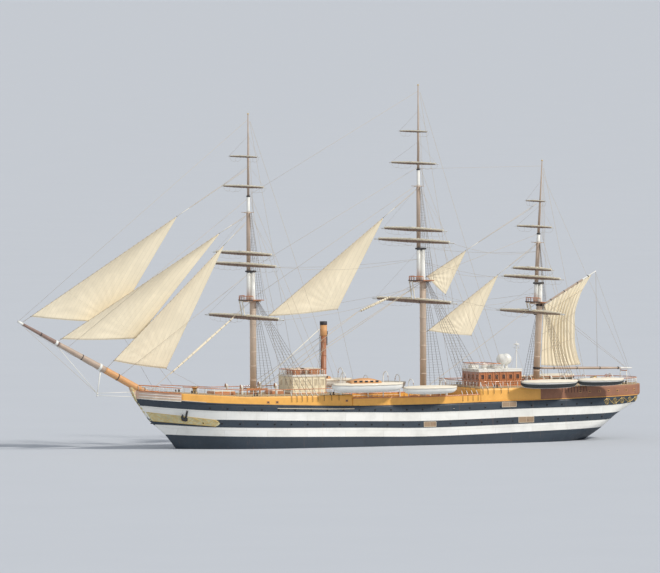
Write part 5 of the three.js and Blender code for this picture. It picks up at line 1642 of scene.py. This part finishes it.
def build_spanker():
    """The spanker hangs partly brailed: it falls in upright folds, whose depth grows away from the mast as
    a sine. Boom and gaff are tubes with hoops, and each turns on the mast by a loose ring."""
    out, high = np.meshgrid(np.linspace(0, 1, 161), np.linspace(0, 1, 61))
    s = SPANKER
    luff_x, luff_z = (s.tack[k] + high * (s.throat[k] - s.tack[k]) for k in (0, 1))
    leech_z = s.clew[1] + high * (s.peak[1] - s.clew[1])
    leech_x = fair(SPANKER_LEECH[:, 0], SPANKER_LEECH[:, 1], leech_z)
    x = luff_x + out * (leech_x - luff_x)
    z = luff_z + out * (leech_z - luff_z) - 18 * np.sin(np.pi * out) * (1 - high) ** 4
    depth = 15 * np.sin(np.pi * out) ** 0.5 * (0.3 + 0.7 * np.sin(np.pi * high * 0.96) ** 0.6)
    belly = 0.5 * s.belly * np.sin(np.pi * out) * np.sin(np.pi * np.minimum(1, high * 0.9 + 0.1))
    folds = np.sin(2 * np.pi * 10 * out + 0.8 * np.sin(4 * high) + 0.5 * np.sin(9 * out)) \
        + 0.25 * np.sin(2 * np.pi * 23 * out + 3 * high)
    points = np.stack([x, depth * folds - belly, z], -1) * MM
    shape = Shape()
    shape.surface(points, "canvas", uv=np.stack([points[..., 2], out * 1.35], -1))
    sail = piece("spanker_cloth", shape, "spanker", ("spanker",), flip=False)
    thicken(sail, SAIL_THICK)
    rope = Shape()
    rope.chain(border(points), BOLT_ROPE_RADIUS, "bolt_rope", 5)
    hoops = points[4:-2:7, 0]
    rope.rods(hoops + [0, 0, 0.002], hoops + [0.012, 0, -0.002], 0.002, "rope")
    brails = [(-2.7, 0.012, 1.9), (-2.69, 0.012, 1.6), (-2.68, 0.012, 1.35)]
    rope.rods(brails, points[[50, 35, 18], -1] + [0, 0.012, 0], 0.0014, "rope")
    rope_piece = piece("spanker_bolt_rope", rope, "spanker")

    mast = MASTS["mizzen"]
    for name, spar in (("spanker_boom", BOOM), ("spanker_gaff", GAFF)):
        shape = Shape()
        a, b = (np.array([p[0], 0, p[1]]) * MM for p in (spar.heel, spar.end))
        along = unit(b - a)
        axis_x = mast.x - MAST_OFFSET * math.cos(mast.rake) - (a[2] - mast.deck) * math.tan(mast.rake)
        start = np.array([axis_x - LOWER_RADIUS - 0.006, 0, a[2]])
        t = np.linspace(0, 1, 25)
        radius = spar.radius * MM
        finish = np.where(t[1:] > (0.9 if spar is BOOM else 0.75), "white", "pole")[:, None]
        shape.tube(start + t[:, None] * (b - start),
                   radius * fair([0, 0.3, 0.6, 1], [0.8, 1, 1, spar.tip], t), finish, 16)
        middle = start + np.array([0.15, 0.4, 0.65, 0.85])[:, None] * (b - start)
        shape.rods(middle - along * 0.006, middle + along * 0.006, radius * 1.12, "iron", 14)
        ring = lathe(collar(LOWER_RADIUS + RING_PLAY, 0.009, 0.024), 28, (-MAST_OFFSET, 0, up(mast, a[2])))
        shape.surface(rake_frame(mast, ring), "iron", True, smooth=False)
        piece(f"{name}_spar", shape, "spanker", (name,))


def build_bowsprit():
    """The bowsprit is a tube along its line, in four finishes, with bands, footropes and the dolphin
    striker: rods from its head to the end of the striker and from there to the stem."""
    shape = Shape()
    path = BOWSPRIT
    far = distances(path)
    t = np.linspace(0, far[-1], 60)
    line = path[0] + (t / far[-1])[:, None] * (path[-1] - path[0])
    along = unit(line[-1] - line[0])
    radius = np.interp(t, far, BOWSPRIT_RADII)
    for low, high, finish in ((0, 26, "tan"), (25, 44, "pole"), (43, 58, "boom"), (57, 60, "white")):
        shape.tube(line[low:high], radius[low:high], finish, 24)
    joints = [int(np.argmin(np.linalg.norm(line - place, axis=1))) for place in path[1:3]]
    for index, half, swell, finish in (*((index, 0.02, 1.14, "white") for index in joints),
                                       *((index, 0.007, 1.06, "iron") for index in (10, 20, 34, 50))):
        shape.rods(line[index] - along * half, line[index] + along * half, radius[index] * swell, finish, 24)
    x, z = line[14:56, 0], line[14:56, 2]
    sag = 0.03 + 0.012 * np.abs(np.sin(np.linspace(0, 6 * np.pi, 42)))
    for side in (-1, 1):
        rope = spots(x, side * 0.075, z - sag)
        shape.chain(rope, 0.0013, "rope")
        shape.rods(rope[::7], line[14:56:7], 0.0012, "rope", 4)
    piece("bowsprit_spar", shape, replaces=("bowsprit",))

    shape = Shape()
    s = STRIKER
    end = np.array(s.end)
    shape.rods(s.head, end + [0.004, 0, -0.018], 0.012, "white", 14, 0.008)
    shape.rods(path[2], end + [0, 0, 0.03], 0.0055, "white", 8)
    shape.rods(path[3] - [0.03, 0, 0.03], end + [0, 0, 0.03], 0.002, "wire", 6)
    for side in SIDES:
        shape.rods([end + [0, 0, 0.035], end], mirrored([s.stem, (4.0, 0.026, 0.79)], side), 0.0042, "white",
                   8)
    for place in (end + [0, 0, 0.033], end - [0, 0, 0.002]):
        shape.rods(place - [0, 0, 0.007], place + [0, 0, 0.007], 0.017, "white", 14)
    piece("striker_and_guys", shape, replaces=("dolphin_striker",))


# Standing and running rigging


def shroud_legs(mast):
    """Ends of the lower shrouds on the port side: heads under the top and feet along the deck edge."""
    mizzen = mast.name == "mizzen"
    start, reach = (0.14, 0.26) if mizzen else (0.34, 0.42)
    part = np.linspace(0, 1, 6)
    x = mast.x - start - part * reach
    feet = spots(x, edge_at(x) - CHAIN_INSET, np.maximum(deck_at(x), sheer_at(x) + 0.12))
    ahead, out = (0.031, 0.05) if mizzen else (0, 0.034)
    heads = on_mast(mast, ahead - MAST_OFFSET - 0.035 - 0.03 * part, out, up(mast, mast.top - 0.01))
    return heads, feet


def ratlines(shape, heads, feet, margins):
    """Level lines between neighbouring shrouds, at even heights from the first foot to the first head."""
    levels = np.arange(feet[0, 2] + margins[0], heads[0, 2] - margins[1], sizes().ratline_step)
    t = (levels[:, None] - feet[:, 2]) / (heads[:, 2] - feet[:, 2])
    points = feet + np.clip(t, 0, 1)[..., None] * (heads - feet)
    shape.rods(points[:, :-1].reshape(-1, 3), points[:, 1:].reshape(-1, 3), 0.0011, "tarred", 3)


def build_rigging():
    """Shrouds, backstays and stays are straight rods between places on hull, masts and tops. Ratlines join
    the shrouds. A brace runs from its yard's end to the next mast and sags as a sine."""
    for mast in MASTS.values():
        build_shrouds(mast)
    stays = Shape()
    for ends, scale in (
        # low end and high end as x, z, and the wire's radius over a shroud's
        ((2165, 4900, 5885, 1950), 0.7), ((2165, 3720, 5120, 1530), 0.8), ((2150, 2600, 4250, 1110), 1.0),
        ((-635, 5300, 2165, 3760), 0.7), ((-635, 4160, 2165, 2640), 0.8), ((-635, 3900, 2160, 2190), 0.9),
        ((-2720, 4150, -635, 4130), 0.6), ((-2655, 3130, -640, 2450), 0.8), ((-2700, 4050, -4200, 900), 0.6),
    ):
        x1, z1, x2, z2 = np.array(ends) * MM
        stays.rods((x1, 0, z1), (x2, 0, z2), sizes().shroud_radius * scale, "wire", 6)
    piece("upper_stays", stays)
    for node in ("fore_stay", "main_stay", "mizzen_stay"):
        repaint(node, "wire")

    holds = {
        # mast that the braces lead to; ahead, out and height of the two places on it
        "fore": ("main", ((-0.005, 0.038, 2.35), (0.055, 0.024, 2.77))),
        "main": ("mizzen", ((0.055, 0.024, 2.22), (0.055, 0.024, 2.85))),
        "mizzen": ("main", ((-0.065, 0.038, 2.3), (-0.059, 0.026, 2.72))),
    }
    t = np.linspace(0, 1, 25)[:, None]
    for name, mast in MASTS.items():
        other, places = MASTS[holds[name][0]], holds[name][1]
        for row, (ahead, out, height) in enumerate(places):
            yard_height, length, _ = (v * MM for v in YARDS[name][row])
            for side_name, side in PORT_AND_STARBOARD:
                arm = yard_frame(mast, yard_height)((0, side * BRACE_AT * length / 2, 0))
                hold = on_mast(other, ahead, side * out, up(other, height))
                shape = Shape()
                shape.tube(arm + t * (hold - arm) - [0, 0, BRACE_SAG] * np.sin(np.pi * t),
                           sizes().line_radius, "rope", 6)
                made = piece(f"{name}_{YARD_NAMES[row]}_brace_{side_name}", shape, None)
                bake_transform(made)


def build_shrouds(mast):
    """The shrouds, futtock shrouds and backstays of one mast, with their ratlines and their white lower
    ends."""
    radius, mizzen = sizes().shroud_radius, mast.name == "mizzen"
    heads, feet = shroud_legs(mast)
    rim = on_mast(mast, np.linspace(-0.02, -MAST_OFFSET - mast.top_aft + 0.005, 4), TOP.half - 0.004,
                  up(mast, mast.top + 0.012))
    behind = np.array([4, 8, 12, 16] if mizzen else [4, 10, 30, 36]) * MM
    upper = on_mast(mast, MAST_OFFSET - behind, 0.028, up(mast, mast.trees - 0.01))
    x = mast.x - np.array([0.46, 0.51, 0.56] if mizzen else [0.86, 0.98, 1.1])
    backs = spots(x, edge_at(x) - CHAIN_INSET, deck_at(x) + 0.01)
    ups = up(mast, np.array([mast.trees, mast.upper_cap + 0.01, mast.truck - 0.12]))
    tops = on_mast(mast, MAST_OFFSET - 0.03, [0.022, 0.016, 0.009], ups)
    gallant_low = on_mast(mast, MAST_OFFSET - 0.03, TREES_HALF - 0.01, up(mast, mast.trees))
    gallant_high = on_mast(mast, MAST_OFFSET - 0.002, 0.016,
                           up(mast, np.array([0.45, 0.8]) * (mast.truck - mast.trees) + mast.trees))
    futtock = on_mast(mast, -MAST_OFFSET - 0.02, 0.05, up(mast, mast.top - 0.13))
    shape = Shape()
    for side in SIDES:
        h, f, r, u, b, t = (mirrored(points, side) for points in (heads, feet, rim, upper, backs, tops))
        shape.rods(f, h, radius, "tarred")
        ratlines(shape, h, f, (0.09, 0.06))
        shape.rods(r, u, radius * 0.8, "tarred")
        ratlines(shape, u, r, (0.05, 0.05))
        shape.rods(b, t, radius * 0.8, "wire")
        shape.rods(mirrored(gallant_low, side), mirrored(gallant_high, side), radius * 0.7, "wire")
        shape.rods(mirrored(futtock, side), r[:3] - [0, 0, 0.02], radius * 0.7, "tarred")
        ends = np.concatenate([f, b])
        shape.rods(ends, ends + unit(np.concatenate([h - f, t - b])) * 0.075, 0.0045, "white", 6)
        shape.rods(ends + [0, side * 0.006, -0.09], ends, 0.003, "iron")
    piece(f"{mast.name}_shrouds", shape)


def build_slings():
    """A pair of white tackles holds each lower yard from the front of its top: tubes swollen at both ends."""
    t = np.linspace(0, 1, 25)
    swell = 0.008 + 0.005 * np.cos(2 * np.pi * t) ** 2
    for name, mast in MASTS.items():
        height, _, radius = (v * MM for v in YARDS[name][0])
        foot = yard_frame(mast, height)((0.012, 0, radius + 0.004))
        head = on_mast(mast, MAST_OFFSET + TOP.front - 0.02, 0, up(mast, mast.top) - TOP.thick / 2)
        shape = Shape()
        for side in (-1, 1):
            shape.tube(foot + t[:, None] * (head - foot) + [0, side * 0.05, 0], swell, "bolt_rope", 10)
        made = piece(f"{name}_yard_slings", shape, None)
        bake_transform(made)


def build_boom_gear():
    """A gallows under the boom's end, its topping lifts, and the halyards that hang from the gaff. Its beam
    is a tube whose height rises as the square of the distance from the middle."""
    line = sizes().line_radius
    shape = Shape()
    for side in (-1, 1):
        shape.rods((-4.06, side * 0.13, POOP.top), (-4.06, side * 0.1, 1.036), 0.007, "white", 10)
    turn = np.linspace(-1, 1, 15)
    shape.tube(spots(-4.06, 0.115 * turn, 1.026 + 0.006 * turn**2), 0.008, "rail", 8)
    piece("boom_gallows", shape)
    shape = Shape()
    y = np.array([-0.006, 0.006])
    shape.rods(spots(-3.597, y, 2.535), spots(-3.62, y, 1.082), line * 0.8, "rope")
    shape.rods((-3.59, 0, 2.53), (-4.15, 0, 1.07), line, "rope")
    piece("gaff_halyards", shape, "spanker")
    for name, side in PORT_AND_STARBOARD:
        head, foot = mirrored([(-2.705, 0.11, 2.092), (-4.1, 0.02, 1.07)], side)
        shape = Shape()
        shape.tube(head + np.linspace(0, 1, 25)[:, None] * (foot - head), line, "rope", 6)
        made = piece(f"boom_lift_{name}", shape, None)
        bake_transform(made)


def build_furled_staysails():
    """Two staysails are stowed in long thin rolls: each is a tube along its stay, pinched by the bindings."""
    head, fork = (-0.69, 0, 2.435), (0.36, 0, 2.0)
    shape = Shape()
    shape.rods([head, fork, fork], [fork, (2.25, 0.3, 0.785), (2.25, -0.3, 0.785)], 0.0028, "wire", 6)
    piece("main_staysail_bridle", shape)
    t = np.linspace(0, 1, 121)
    for name, low, high, size in (("fore_staysail_furled", (3.45, 0, 1.123), (2.42, 0, 1.945), 0.019),
                                  ("main_staysail_furled", (0.346, 0, 2.006), (-0.157, 0, 2.214), 0.022)):
        low, high = np.array(low), np.array(high)
        along = unit(high - low)
        below = np.array([-along[2], 0, along[0]]) * np.sign(along[0])
        near = np.abs(((t * np.linalg.norm(high - low) / BINDING_STEP) % 1) - 0.5)
        radius = size * np.sin(np.pi * np.clip(t, 0.02, 0.98)) ** 0.4 * (0.82 + 0.3 * near)
        path = low + t[:, None] * (high - low) - below * 0.3 * size
        shape = Shape()
        # The furled finish is lighter than the sail canvas: a painted highlight for sunlight on the roll.
        shape.tube(path, radius, "furled", 14)
        binds = path[6:-6:9]
        shape.rods(binds - along * 0.003, binds + along * 0.003, size * 0.88, "rope", 12)
        piece(name, shape)


# Deck gear, ground tackle, rudder and screw


def build_deck_gear():
    """Hatches, bitts and pin rails are blocks and rods. Capstans, binnacle and bollards are turned. The
    wheel is two rings of rods with spokes."""
    shape = Shape()
    for x, wide, long in ((2.62, 0.3, 0.34), (1.75, 0.28, 0.2), (0.3, 0.34, 0.5), (-1.05, 0.3, 0.3),
                          (-3.0, 0.26, 0.3), (-2.92, 0.22, 0.1)):
        z = deck_at(x) + 0.004
        shape.blocks((x, 0, z + 0.025), (long, wide, 0.055), "rail", 0.005)
        shape.blocks((x, 0, z + 0.055), (long - 0.02, wide - 0.02, 0.012), "cover", 0.004)
    capstan = [(0.055, 0), (0.055, 0.01), (0.035, 0.02), (0.028, 0.06), (0.04, 0.085), (0.05, 0.09),
               (0.05, 0.105), (0.035, 0.112)]
    for x in (3.05, -3.55):
        shape.turned(capstan, "bronze", at=(x, 0, deck_at(x)))
    post = Shape()
    post.turned([(0.011, 0), (0.011, 0.035), (0.014, 0.038), (0.014, 0.046), (0.008, 0.05)], "iron", 12)
    for side in SIDES:
        for x, y in ((3.2, 0.3), (2.3, 0.55), (1.1, 0.66), (-1.6, 0.66), (-2.5, 0.62), (-3.9, 0.36)):
            z = deck_at(x)
            shape.copies(post, spots([x - 0.025, x + 0.025], side * y, z))
            shape.blocks((x, side * y, z + 0.004), (0.09, 0.03, 0.012), "iron", 0.002)
        for x, y, size in ((2.4, 0.28, 1), (1.85, 0.3, 1.1), (-0.95, 0.3, 1.2), (-2.75, 0.2, 0.9)):
            add_cowl(shape, x, side * y, size)
        for mast in MASTS.values():
            x, y, z = mast.x - 0.04, side * 0.13, mast.deck + 0.09
            shape.blocks((x, y, z), (0.34, 0.02, 0.016), "rail", 0.004)
            pins = x + np.linspace(-0.14, 0.14, 9)
            shape.rods(spots(pins, y, z - 0.022), spots(pins, y, z + 0.026), 0.0028, "bronze", 6)
            legs = x + np.array([-0.16, 0.16])
            shape.rods(spots(legs, y, mast.deck), spots(legs, y, z + 0.012), 0.009, "rail", 8)
    piece("deck_gear", shape)

    shape = Shape()
    x, z = -3.82, POOP.top + 0.012
    hub, rim, grip = z + 0.08, 0.052, 0.068
    for at in (x, x + 0.05):
        turn = np.linspace(0, 2 * np.pi, 41)
        shape.chain(spots(at, rim * np.cos(turn), hub + rim * np.sin(turn)), 0.003, "rail", 6)
        turn = np.arange(8) * np.pi / 4
        shape.rods((at, 0, hub), spots(at, grip * np.cos(turn), hub + grip * np.sin(turn)), 0.0022, "rail")
    shape.rods((x - 0.03, 0, hub), (x + 0.08, 0, hub), 0.012, "bronze", 14)
    shape.blocks((x + 0.1, 0, z + 0.04), (0.05, 0.06, 0.1), "rail", 0.006)
    shape.turned([(0.026, 0), (0.022, 0.07), (0.03, 0.08), (0.03, 0.1), (0.018, 0.118), (0.0, 0.122)],
                 "bronze", 20, (x + 0.24, 0, z - 0.008))
    piece("wheel_and_binnacle", shape)


def add_cowl(shape, x, y, size):
    """A ventilator: a tube that rises and turns forward into a bell mouth."""
    turn = np.linspace(0, np.pi / 2, 12)
    reach = 0.028
    bend = spots(reach * (1 - np.cos(turn)), 0, 0.11 + reach * np.sin(turn))
    path = np.concatenate([[(0, 0, 0), (0, 0, 0.055)], bend]) * size + [x, y, deck_at(x)]
    shape.tube(path, np.append([0.017, 0.017], np.linspace(0.017, 0.034, 12)) * size, "white", 18)
    shape.rods(path[-1] - [0.002, 0, 0], path[-1] + [0.0015, 0, 0], 0.029 * size, "varnish", 18)


def build_underwater():
    """The rudder is a plate with rounded edges on a turned stock. Each blade of the screw is a lens section
    whose chord swells and whose pitch falls from the hub to the tip."""
    for node, finish in (("anchor_port", "iron"), ("anchor_starboard", "iron"), ("beakhead", "head")):
        repaint(node, finish)
    shape = Shape()
    outline = np.array([[-3.163, -0.7], [-3.48, -0.69], [-3.53, -0.6], [-3.56, -0.42], [-3.545, -0.25],
                        [-3.5, -0.1], [-3.33, -0.145], [-3.163, -0.205]])
    middle = np.array([-3.35, -0.42])
    ring = middle + (outline - middle) * np.array([0.985, 1, 1, 0.985])[:, None, None]
    across = np.array([[-1], [-0.7], [0.7], [1]]) * 0.0075
    shape.surface(spots(ring[..., 0], across, ring[..., 1]), "bottom", wrap=True, caps=True, smooth=False)
    stock = (-3.163, 0, 0)
    shape.turned([(0.0165, -0.7), (0.018, -0.697), (0.018, -0.1683)], "bottom", at=stock)
    for z in (-0.62, -0.42, -0.25):
        shape.blocks((-3.3, 0, z), (0.26, 0.02, 0.02), "iron", 0.004)
        shape.turned(hoop(0.0182, 0.0225, z, 0.012, 0.002), "iron", at=stock, caps=False)
    piece("rudder_blade", shape, "rudder", ("rudder",))

    shape = Shape()
    centre = np.array([-2.93, 0, -0.45])
    hub = [(0.0, -0.061), (0.018, -0.058), (0.032, -0.03), (0.04, 0.0), (0.04, 0.069)]
    shape.turned(hub, "bronze", 32, centre, 0)
    root, tip, span = 0.03, 0.179, 0.149
    radius = np.linspace(root, tip, 24)[:, None]
    t = (radius - root) / span
    chord = 0.05 * np.sin(np.pi * (0.2 + 0.8 * t)) ** 0.6 + 0.002
    chord[-1] = 0.004
    pitch = np.arctan2(0.11, 2 * np.pi * radius * 0.55)
    around = np.linspace(0, 2 * np.pi, 20, endpoint=False)
    s, n = np.cos(around) * chord, np.sin(around) * 0.0045 * (1 - 0.7 * t)
    axial, tangent = s * np.sin(pitch) + n * np.cos(pitch), s * np.cos(pitch) - n * np.sin(pitch)
    for c, d in ((1, 0), (0, 1), (-1, 0), (0, -1)):
        blade = spots(axial, c * tangent - d * radius, d * tangent + c * radius)
        shape.surface(blade + centre, "bronze", True, True)
    piece("screw", shape, "propeller", ("propeller",))


# Stage


def build_stage():
    """Camera on the photograph's line of sight, a pale floor at the waterline, soft light from over the
    shoulder."""
    scene = bpy.context.scene
    azimuth, elevation, roll = (math.radians(angle) for angle in (24.3, 1.8, -0.2))
    level = math.cos(elevation)
    look = Vector((math.sin(azimuth) * level, math.cos(azimuth) * level, math.sin(elevation)))
    aim, distance = Vector((0.83, 0.0, 2.38)), 150.0
    data = bpy.data.cameras.new("camera")
    data.sensor_width = 36.0
    data.lens = data.sensor_width * distance / sizes().lens_width
    data.clip_start, data.clip_end = 1.0, 12000.0
    camera = bpy.data.objects.new("camera", data)
    scene.collection.objects.link(camera)
    camera.location = aim + look * distance
    turn = look.to_track_quat("Z", "Y").to_matrix() @ Matrix.Rotation(roll, 3, "Z")
    camera.rotation_euler = turn.to_euler()
    scene.camera = camera
    scene.view_settings.view_transform = "Standard"
    scene.view_settings.look = "None"

    mesh = bpy.data.meshes.new("floor")
    side = 4000.0
    mesh.from_pydata([(-side, -side, 0), (side, -side, 0), (side, side, 0), (-side, side, 0)], [],
                     [(0, 1, 2, 3)])
    floor = bpy.data.objects.new("floor", mesh)
    scene.collection.objects.link(floor)
    finish = Finish("studio_floor", (0.54, 0.57, 0.62), 0.9)
    finish.tint((0.52, 0.55, 0.6, 1), finish.part(finish.noise(0.4), 0.4, 0.7, 0.4))
    mesh.materials.append(finish.done())

    world = bpy.data.worlds.new("studio")
    scene.world = world
    world.use_nodes = True
    background = world.node_tree.nodes["Background"]
    background.inputs["Color"].default_value = (0.86, 0.9, 0.96, 1)
    background.inputs["Strength"].default_value = 0.52
    for name, energy, spread, turn, colour in (
        ("key", 2.65, 6, (50, 0, -142), (1.0, 0.96, 0.89)),
        ("fill", 0.3, 40, (60, 0, 150), (0.9, 0.95, 1.0)),
    ):
        light = bpy.data.lights.new(name, "SUN")
        light.energy = energy
        light.angle = math.radians(spread)
        light.color = colour
        lamp = bpy.data.objects.new(name, light)
        lamp.rotation_euler = [math.radians(angle) for angle in turn]
        scene.collection.objects.link(lamp)


# Operators, panel and registration


class SHIP_OT_stage(bpy.types.Operator):
    """Make the camera, the lights and the floor"""

    bl_idname = "ship.stage"
    bl_label = "Stage"

    def execute(self, context):
        build_stage()
        return {"FINISHED"}


class SHIP_OT_hull(bpy.types.Operator):
    """Make the hull with its bands, strakes, scuttles and doors"""

    bl_idname = "ship.hull"
    bl_label = "Hull"

    def execute(self, context):
        build_hull()
        build_stern_post()
        build_strakes()
        build_ports()
        build_side_doors()
        return {"FINISHED"}


class SHIP_OT_decks(bpy.types.Operator):
    """Make the raised decks, bulwarks and open rails"""

    bl_idname = "ship.decks"
    bl_label = "Decks and rails"

    def execute(self, context):
        build_decks()
        build_rails()
        return {"FINISHED"}


class SHIP_OT_houses(bpy.types.Operator):
    """Make the joinery and roof gear of the deckhouses"""

    bl_idname = "ship.houses"
    bl_label = "Deckhouses"

    def execute(self, context):
        build_houses()
        build_roof_gear()
        return {"FINISHED"}


class SHIP_OT_funnel(bpy.types.Operator):
    """Make the pole funnel"""

    bl_idname = "ship.funnel"
    bl_label = "Funnel"

    def execute(self, context):
        build_funnel()
        return {"FINISHED"}


class SHIP_OT_boats(bpy.types.Operator):
    """Make the boats with their covers, davits and falls"""

    bl_idname = "ship.boats"
    bl_label = "Boats"

    def execute(self, context):
        build_boats()
        return {"FINISHED"}


class SHIP_OT_masts(bpy.types.Operator):
    """Make the lower masts, topmasts and topgallant masts"""

    bl_idname = "ship.masts"
    bl_label = "Masts"

    def execute(self, context):
        build_masts()
        return {"FINISHED"}


class SHIP_OT_yards(bpy.types.Operator):
    """Make the yards with their furled sails and footropes"""

    bl_idname = "ship.yards"
    bl_label = "Yards"

    def execute(self, context):
        build_yards()
        return {"FINISHED"}


class SHIP_OT_bowsprit(bpy.types.Operator):
    """Make the bowsprit, jibboom and dolphin striker"""

    bl_idname = "ship.bowsprit"
    bl_label = "Bowsprit"

    def execute(self, context):
        build_bowsprit()
        return {"FINISHED"}


class SHIP_OT_sails(bpy.types.Operator):
    """Make the jibs, staysails and spanker"""

    bl_idname = "ship.sails"
    bl_label = "Sails"

    def execute(self, context):
        build_sails()
        build_spanker()
        build_furled_staysails()
        return {"FINISHED"}


class SHIP_OT_rigging(bpy.types.Operator):
    """Make the shrouds, backstays, stays, braces and tackles"""

    bl_idname = "ship.rigging"
    bl_label = "Rigging"

    def execute(self, context):
        build_rigging()
        build_slings()
        build_boom_gear()
        return {"FINISHED"}


class SHIP_OT_ornament(bpy.types.Operator):
    """Make the carved and gilded work of the bow and quarters"""

    bl_idname = "ship.ornament"
    bl_label = "Ornament"

    def execute(self, context):
        build_ornament()
        return {"FINISHED"}


class SHIP_OT_deck_gear(bpy.types.Operator):
    """Make the hatches, ventilators, capstans, pin rails and wheel"""

    bl_idname = "ship.deck_gear"
    bl_label = "Deck gear"

    def execute(self, context):
        build_deck_gear()
        return {"FINISHED"}


class SHIP_OT_underwater(bpy.types.Operator):
    """Make the rudder and the screw, and finish the anchors and the beakhead"""

    bl_idname = "ship.underwater"
    bl_label = "Rudder and screw"

    def execute(self, context):
        build_underwater()
        return {"FINISHED"}


OPERATORS = (
    SHIP_OT_stage, SHIP_OT_hull, SHIP_OT_decks, SHIP_OT_houses, SHIP_OT_funnel, SHIP_OT_boats, SHIP_OT_masts,
    SHIP_OT_yards, SHIP_OT_bowsprit, SHIP_OT_sails, SHIP_OT_rigging, SHIP_OT_ornament, SHIP_OT_deck_gear,
    SHIP_OT_underwater,
)


class SHIP_PT_sidebar(bpy.types.Panel):
    """Sizes, colours and a button for each part of the ship."""

    bl_label = "Tall ship"
    bl_idname = "SHIP_PT_sidebar"
    bl_space_type = "VIEW_3D"
    bl_region_type = "UI"
    bl_category = "Tall ship"

    def draw(self, context):
        for group in (context.scene.ship_sizes, context.scene.ship_colours):
            box = self.layout.box()
            for name in group.__annotations__:
                box.prop(group, name)
        for kind in OPERATORS:
            self.layout.operator(kind.bl_idname)


CLASSES = (ShipSizes, ShipColours, *OPERATORS, SHIP_PT_sidebar)


def register():
    """Adds the classes, and the sizes and colours to every scene."""
    for kind in CLASSES:
        bpy.utils.register_class(kind)
    bpy.types.Scene.ship_sizes = bpy.props.PointerProperty(type=ShipSizes)
    bpy.types.Scene.ship_colours = bpy.props.PointerProperty(type=ShipColours)


def unregister():
    """Takes away what register() added."""
    del bpy.types.Scene.ship_colours
    del bpy.types.Scene.ship_sizes
    for kind in reversed(CLASSES):
        bpy.utils.unregister_class(kind)


def main():
    """Runs every operator in order."""
    register()
    for kind in OPERATORS:
        getattr(bpy.ops.ship, kind.bl_idname.split(".")[1])()


if __name__ == "__main__":
    main()
